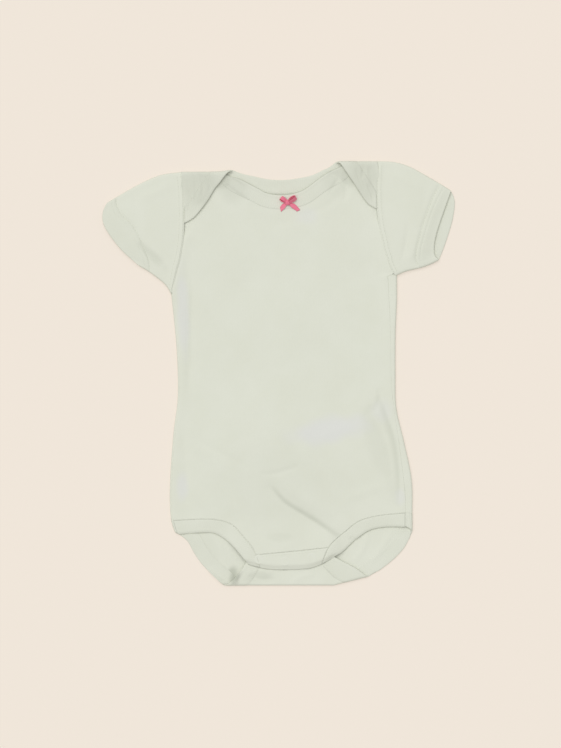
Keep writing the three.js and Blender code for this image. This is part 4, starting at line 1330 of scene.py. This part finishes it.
def bow_tail(length, bend, end_width, steps=24, across=10):
    """A tail of ribbon along +X with a slanted end, lying down from the knot."""
    run = np.linspace(0, 1, steps)[:, None]
    side = np.linspace(-1, 1, across)[None, :]
    start = KNOT_SIZE[0] * 0.55
    reach = length + 1.1 - 2.2 * (1 - side) / 2
    x = start + run * reach
    widen = mix(0.6, 1.05, ease(run, 0, 0.5)) * mix(1.0, end_width, ease(run, 0.45, 1.0))
    y = side * RIBBON_WIDTH / 2 * widen - bend * run ** 2
    gather = 0.2 * np.cos(side * 7.5) * (1 - run) ** 2
    z = 0.75 * (1 - run) ** 2 + 0.28 * np.sin(run * 5.0) * run + gather + 0.12 * side ** 2
    along = run * length + 0 * side
    return np.stack([x, y, z + 0 * x], axis=-1), np.stack([y, along], axis=-1)


bow = [
    bow_piece("ribbon_loop_left", *bow_loop(6.4, 1.7), 144, 30, 1.9, "bow_loop_left"),
    bow_piece("ribbon_loop_right", *bow_loop(8.4, 2.2), 33, 50, 2.5, "bow_loop_right"),
    bow_piece("ribbon_tail_left", *bow_tail(7.8, -0.4, 0.9), 222, 0, 0.2, "bow_tail_left"),
    bow_piece("ribbon_tail_right", *bow_tail(11.4, 2.6, 0.6), -24, 0, 0.2, "bow_tail_right"),
]


def ribbon_knot():
    """The ribbon's crossing wrap: a small crumpled cushion shape with folds along the bow's middle."""
    bm = bmesh.new()
    bmesh.ops.create_uvsphere(bm, u_segments=32, v_segments=20, radius=1)
    for v in bm.verts:
        fold = 1 + 0.09 * math.cos(v.co.x * 9.0 + 0.6) * (1 - v.co.y ** 2)
        waist = 1 - 0.16 * (1 - v.co.x ** 2) * abs(v.co.y)
        shape = (v.co.x, v.co.y * waist, v.co.z * fold)
        v.co = Vector(share * half for share, half in zip(shape, KNOT_SIZE)) * MM
    layer = bm.loops.layers.uv.new("Cut")
    for face in bm.faces:
        for loop in face.loops:
            loop[layer].uv = (loop.vert.co.x, loop.vert.co.y + loop.vert.co.z)
    middle = Vector((*BOW_CENTRE, BOW_Z + KNOT_SIZE[2])) * MM
    turn = Matrix.Rotation(math.radians(27), 3, "Z")
    bmesh.ops.rotate(bm, verts=bm.verts[:], cent=(0, 0, 0), matrix=turn)
    bmesh.ops.translate(bm, verts=bm.verts[:], vec=middle)
    piece = finished("ribbon_knot", bm, ribbon)
    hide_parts("bow_knot")
    return piece


bow.append(ribbon_knot())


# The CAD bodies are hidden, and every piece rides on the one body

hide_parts("back_body")
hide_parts("front_body")
bindings = [
    neck_band_back, leg_band_back_left, leg_band_back_right, neck_band_front, leg_band_front_left,
    leg_band_front_right,
]
jersey_pieces = [back, front, left_sleeve, right_sleeve, crotch_hem, stitching]
for piece in [*jersey_pieces, *bindings, *snap_pieces, *bow]:
    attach(piece, "root")


# Floor, light and camera

floor_bm = bmesh.new()
bmesh.ops.create_grid(floor_bm, x_segments=1, y_segments=1, size=4)
bmesh.ops.translate(floor_bm, verts=floor_bm.verts[:], vec=(0, 0, -0.1 * MM))
floor = finished("floor", floor_bm, paper, smooth=False)

world = bpy.data.worlds.new("Studio")
bpy.context.scene.world = world
world.use_nodes = True
world.node_tree.nodes["Background"].inputs["Color"].default_value = (1.0, 1.0, 1.0, 1.0)
world.node_tree.nodes["Background"].inputs["Strength"].default_value = 0.465

softbox = bpy.data.lights.new("softbox", "SUN")
softbox.energy = 1.8
softbox.angle = math.radians(60)
softbox_object = bpy.data.objects.new("softbox", softbox)
softbox_object.rotation_euler = Vector((-0.2, 0.3, 1.0)).to_track_quat("Z", "Y").to_euler()
bpy.context.scene.collection.objects.link(softbox_object)

camera = bpy.data.cameras.new("camera")
camera.sensor_fit = "HORIZONTAL"
camera.sensor_width = 36
camera.lens = 202.6
camera.clip_end = 50
camera_object = bpy.data.objects.new("camera", camera)
camera_object.location = (0.0014, -0.00095, 3.0)
bpy.context.scene.collection.objects.link(camera_object)
bpy.context.scene.camera = camera_object
bpy.context.scene.view_settings.view_transform = "Standard"
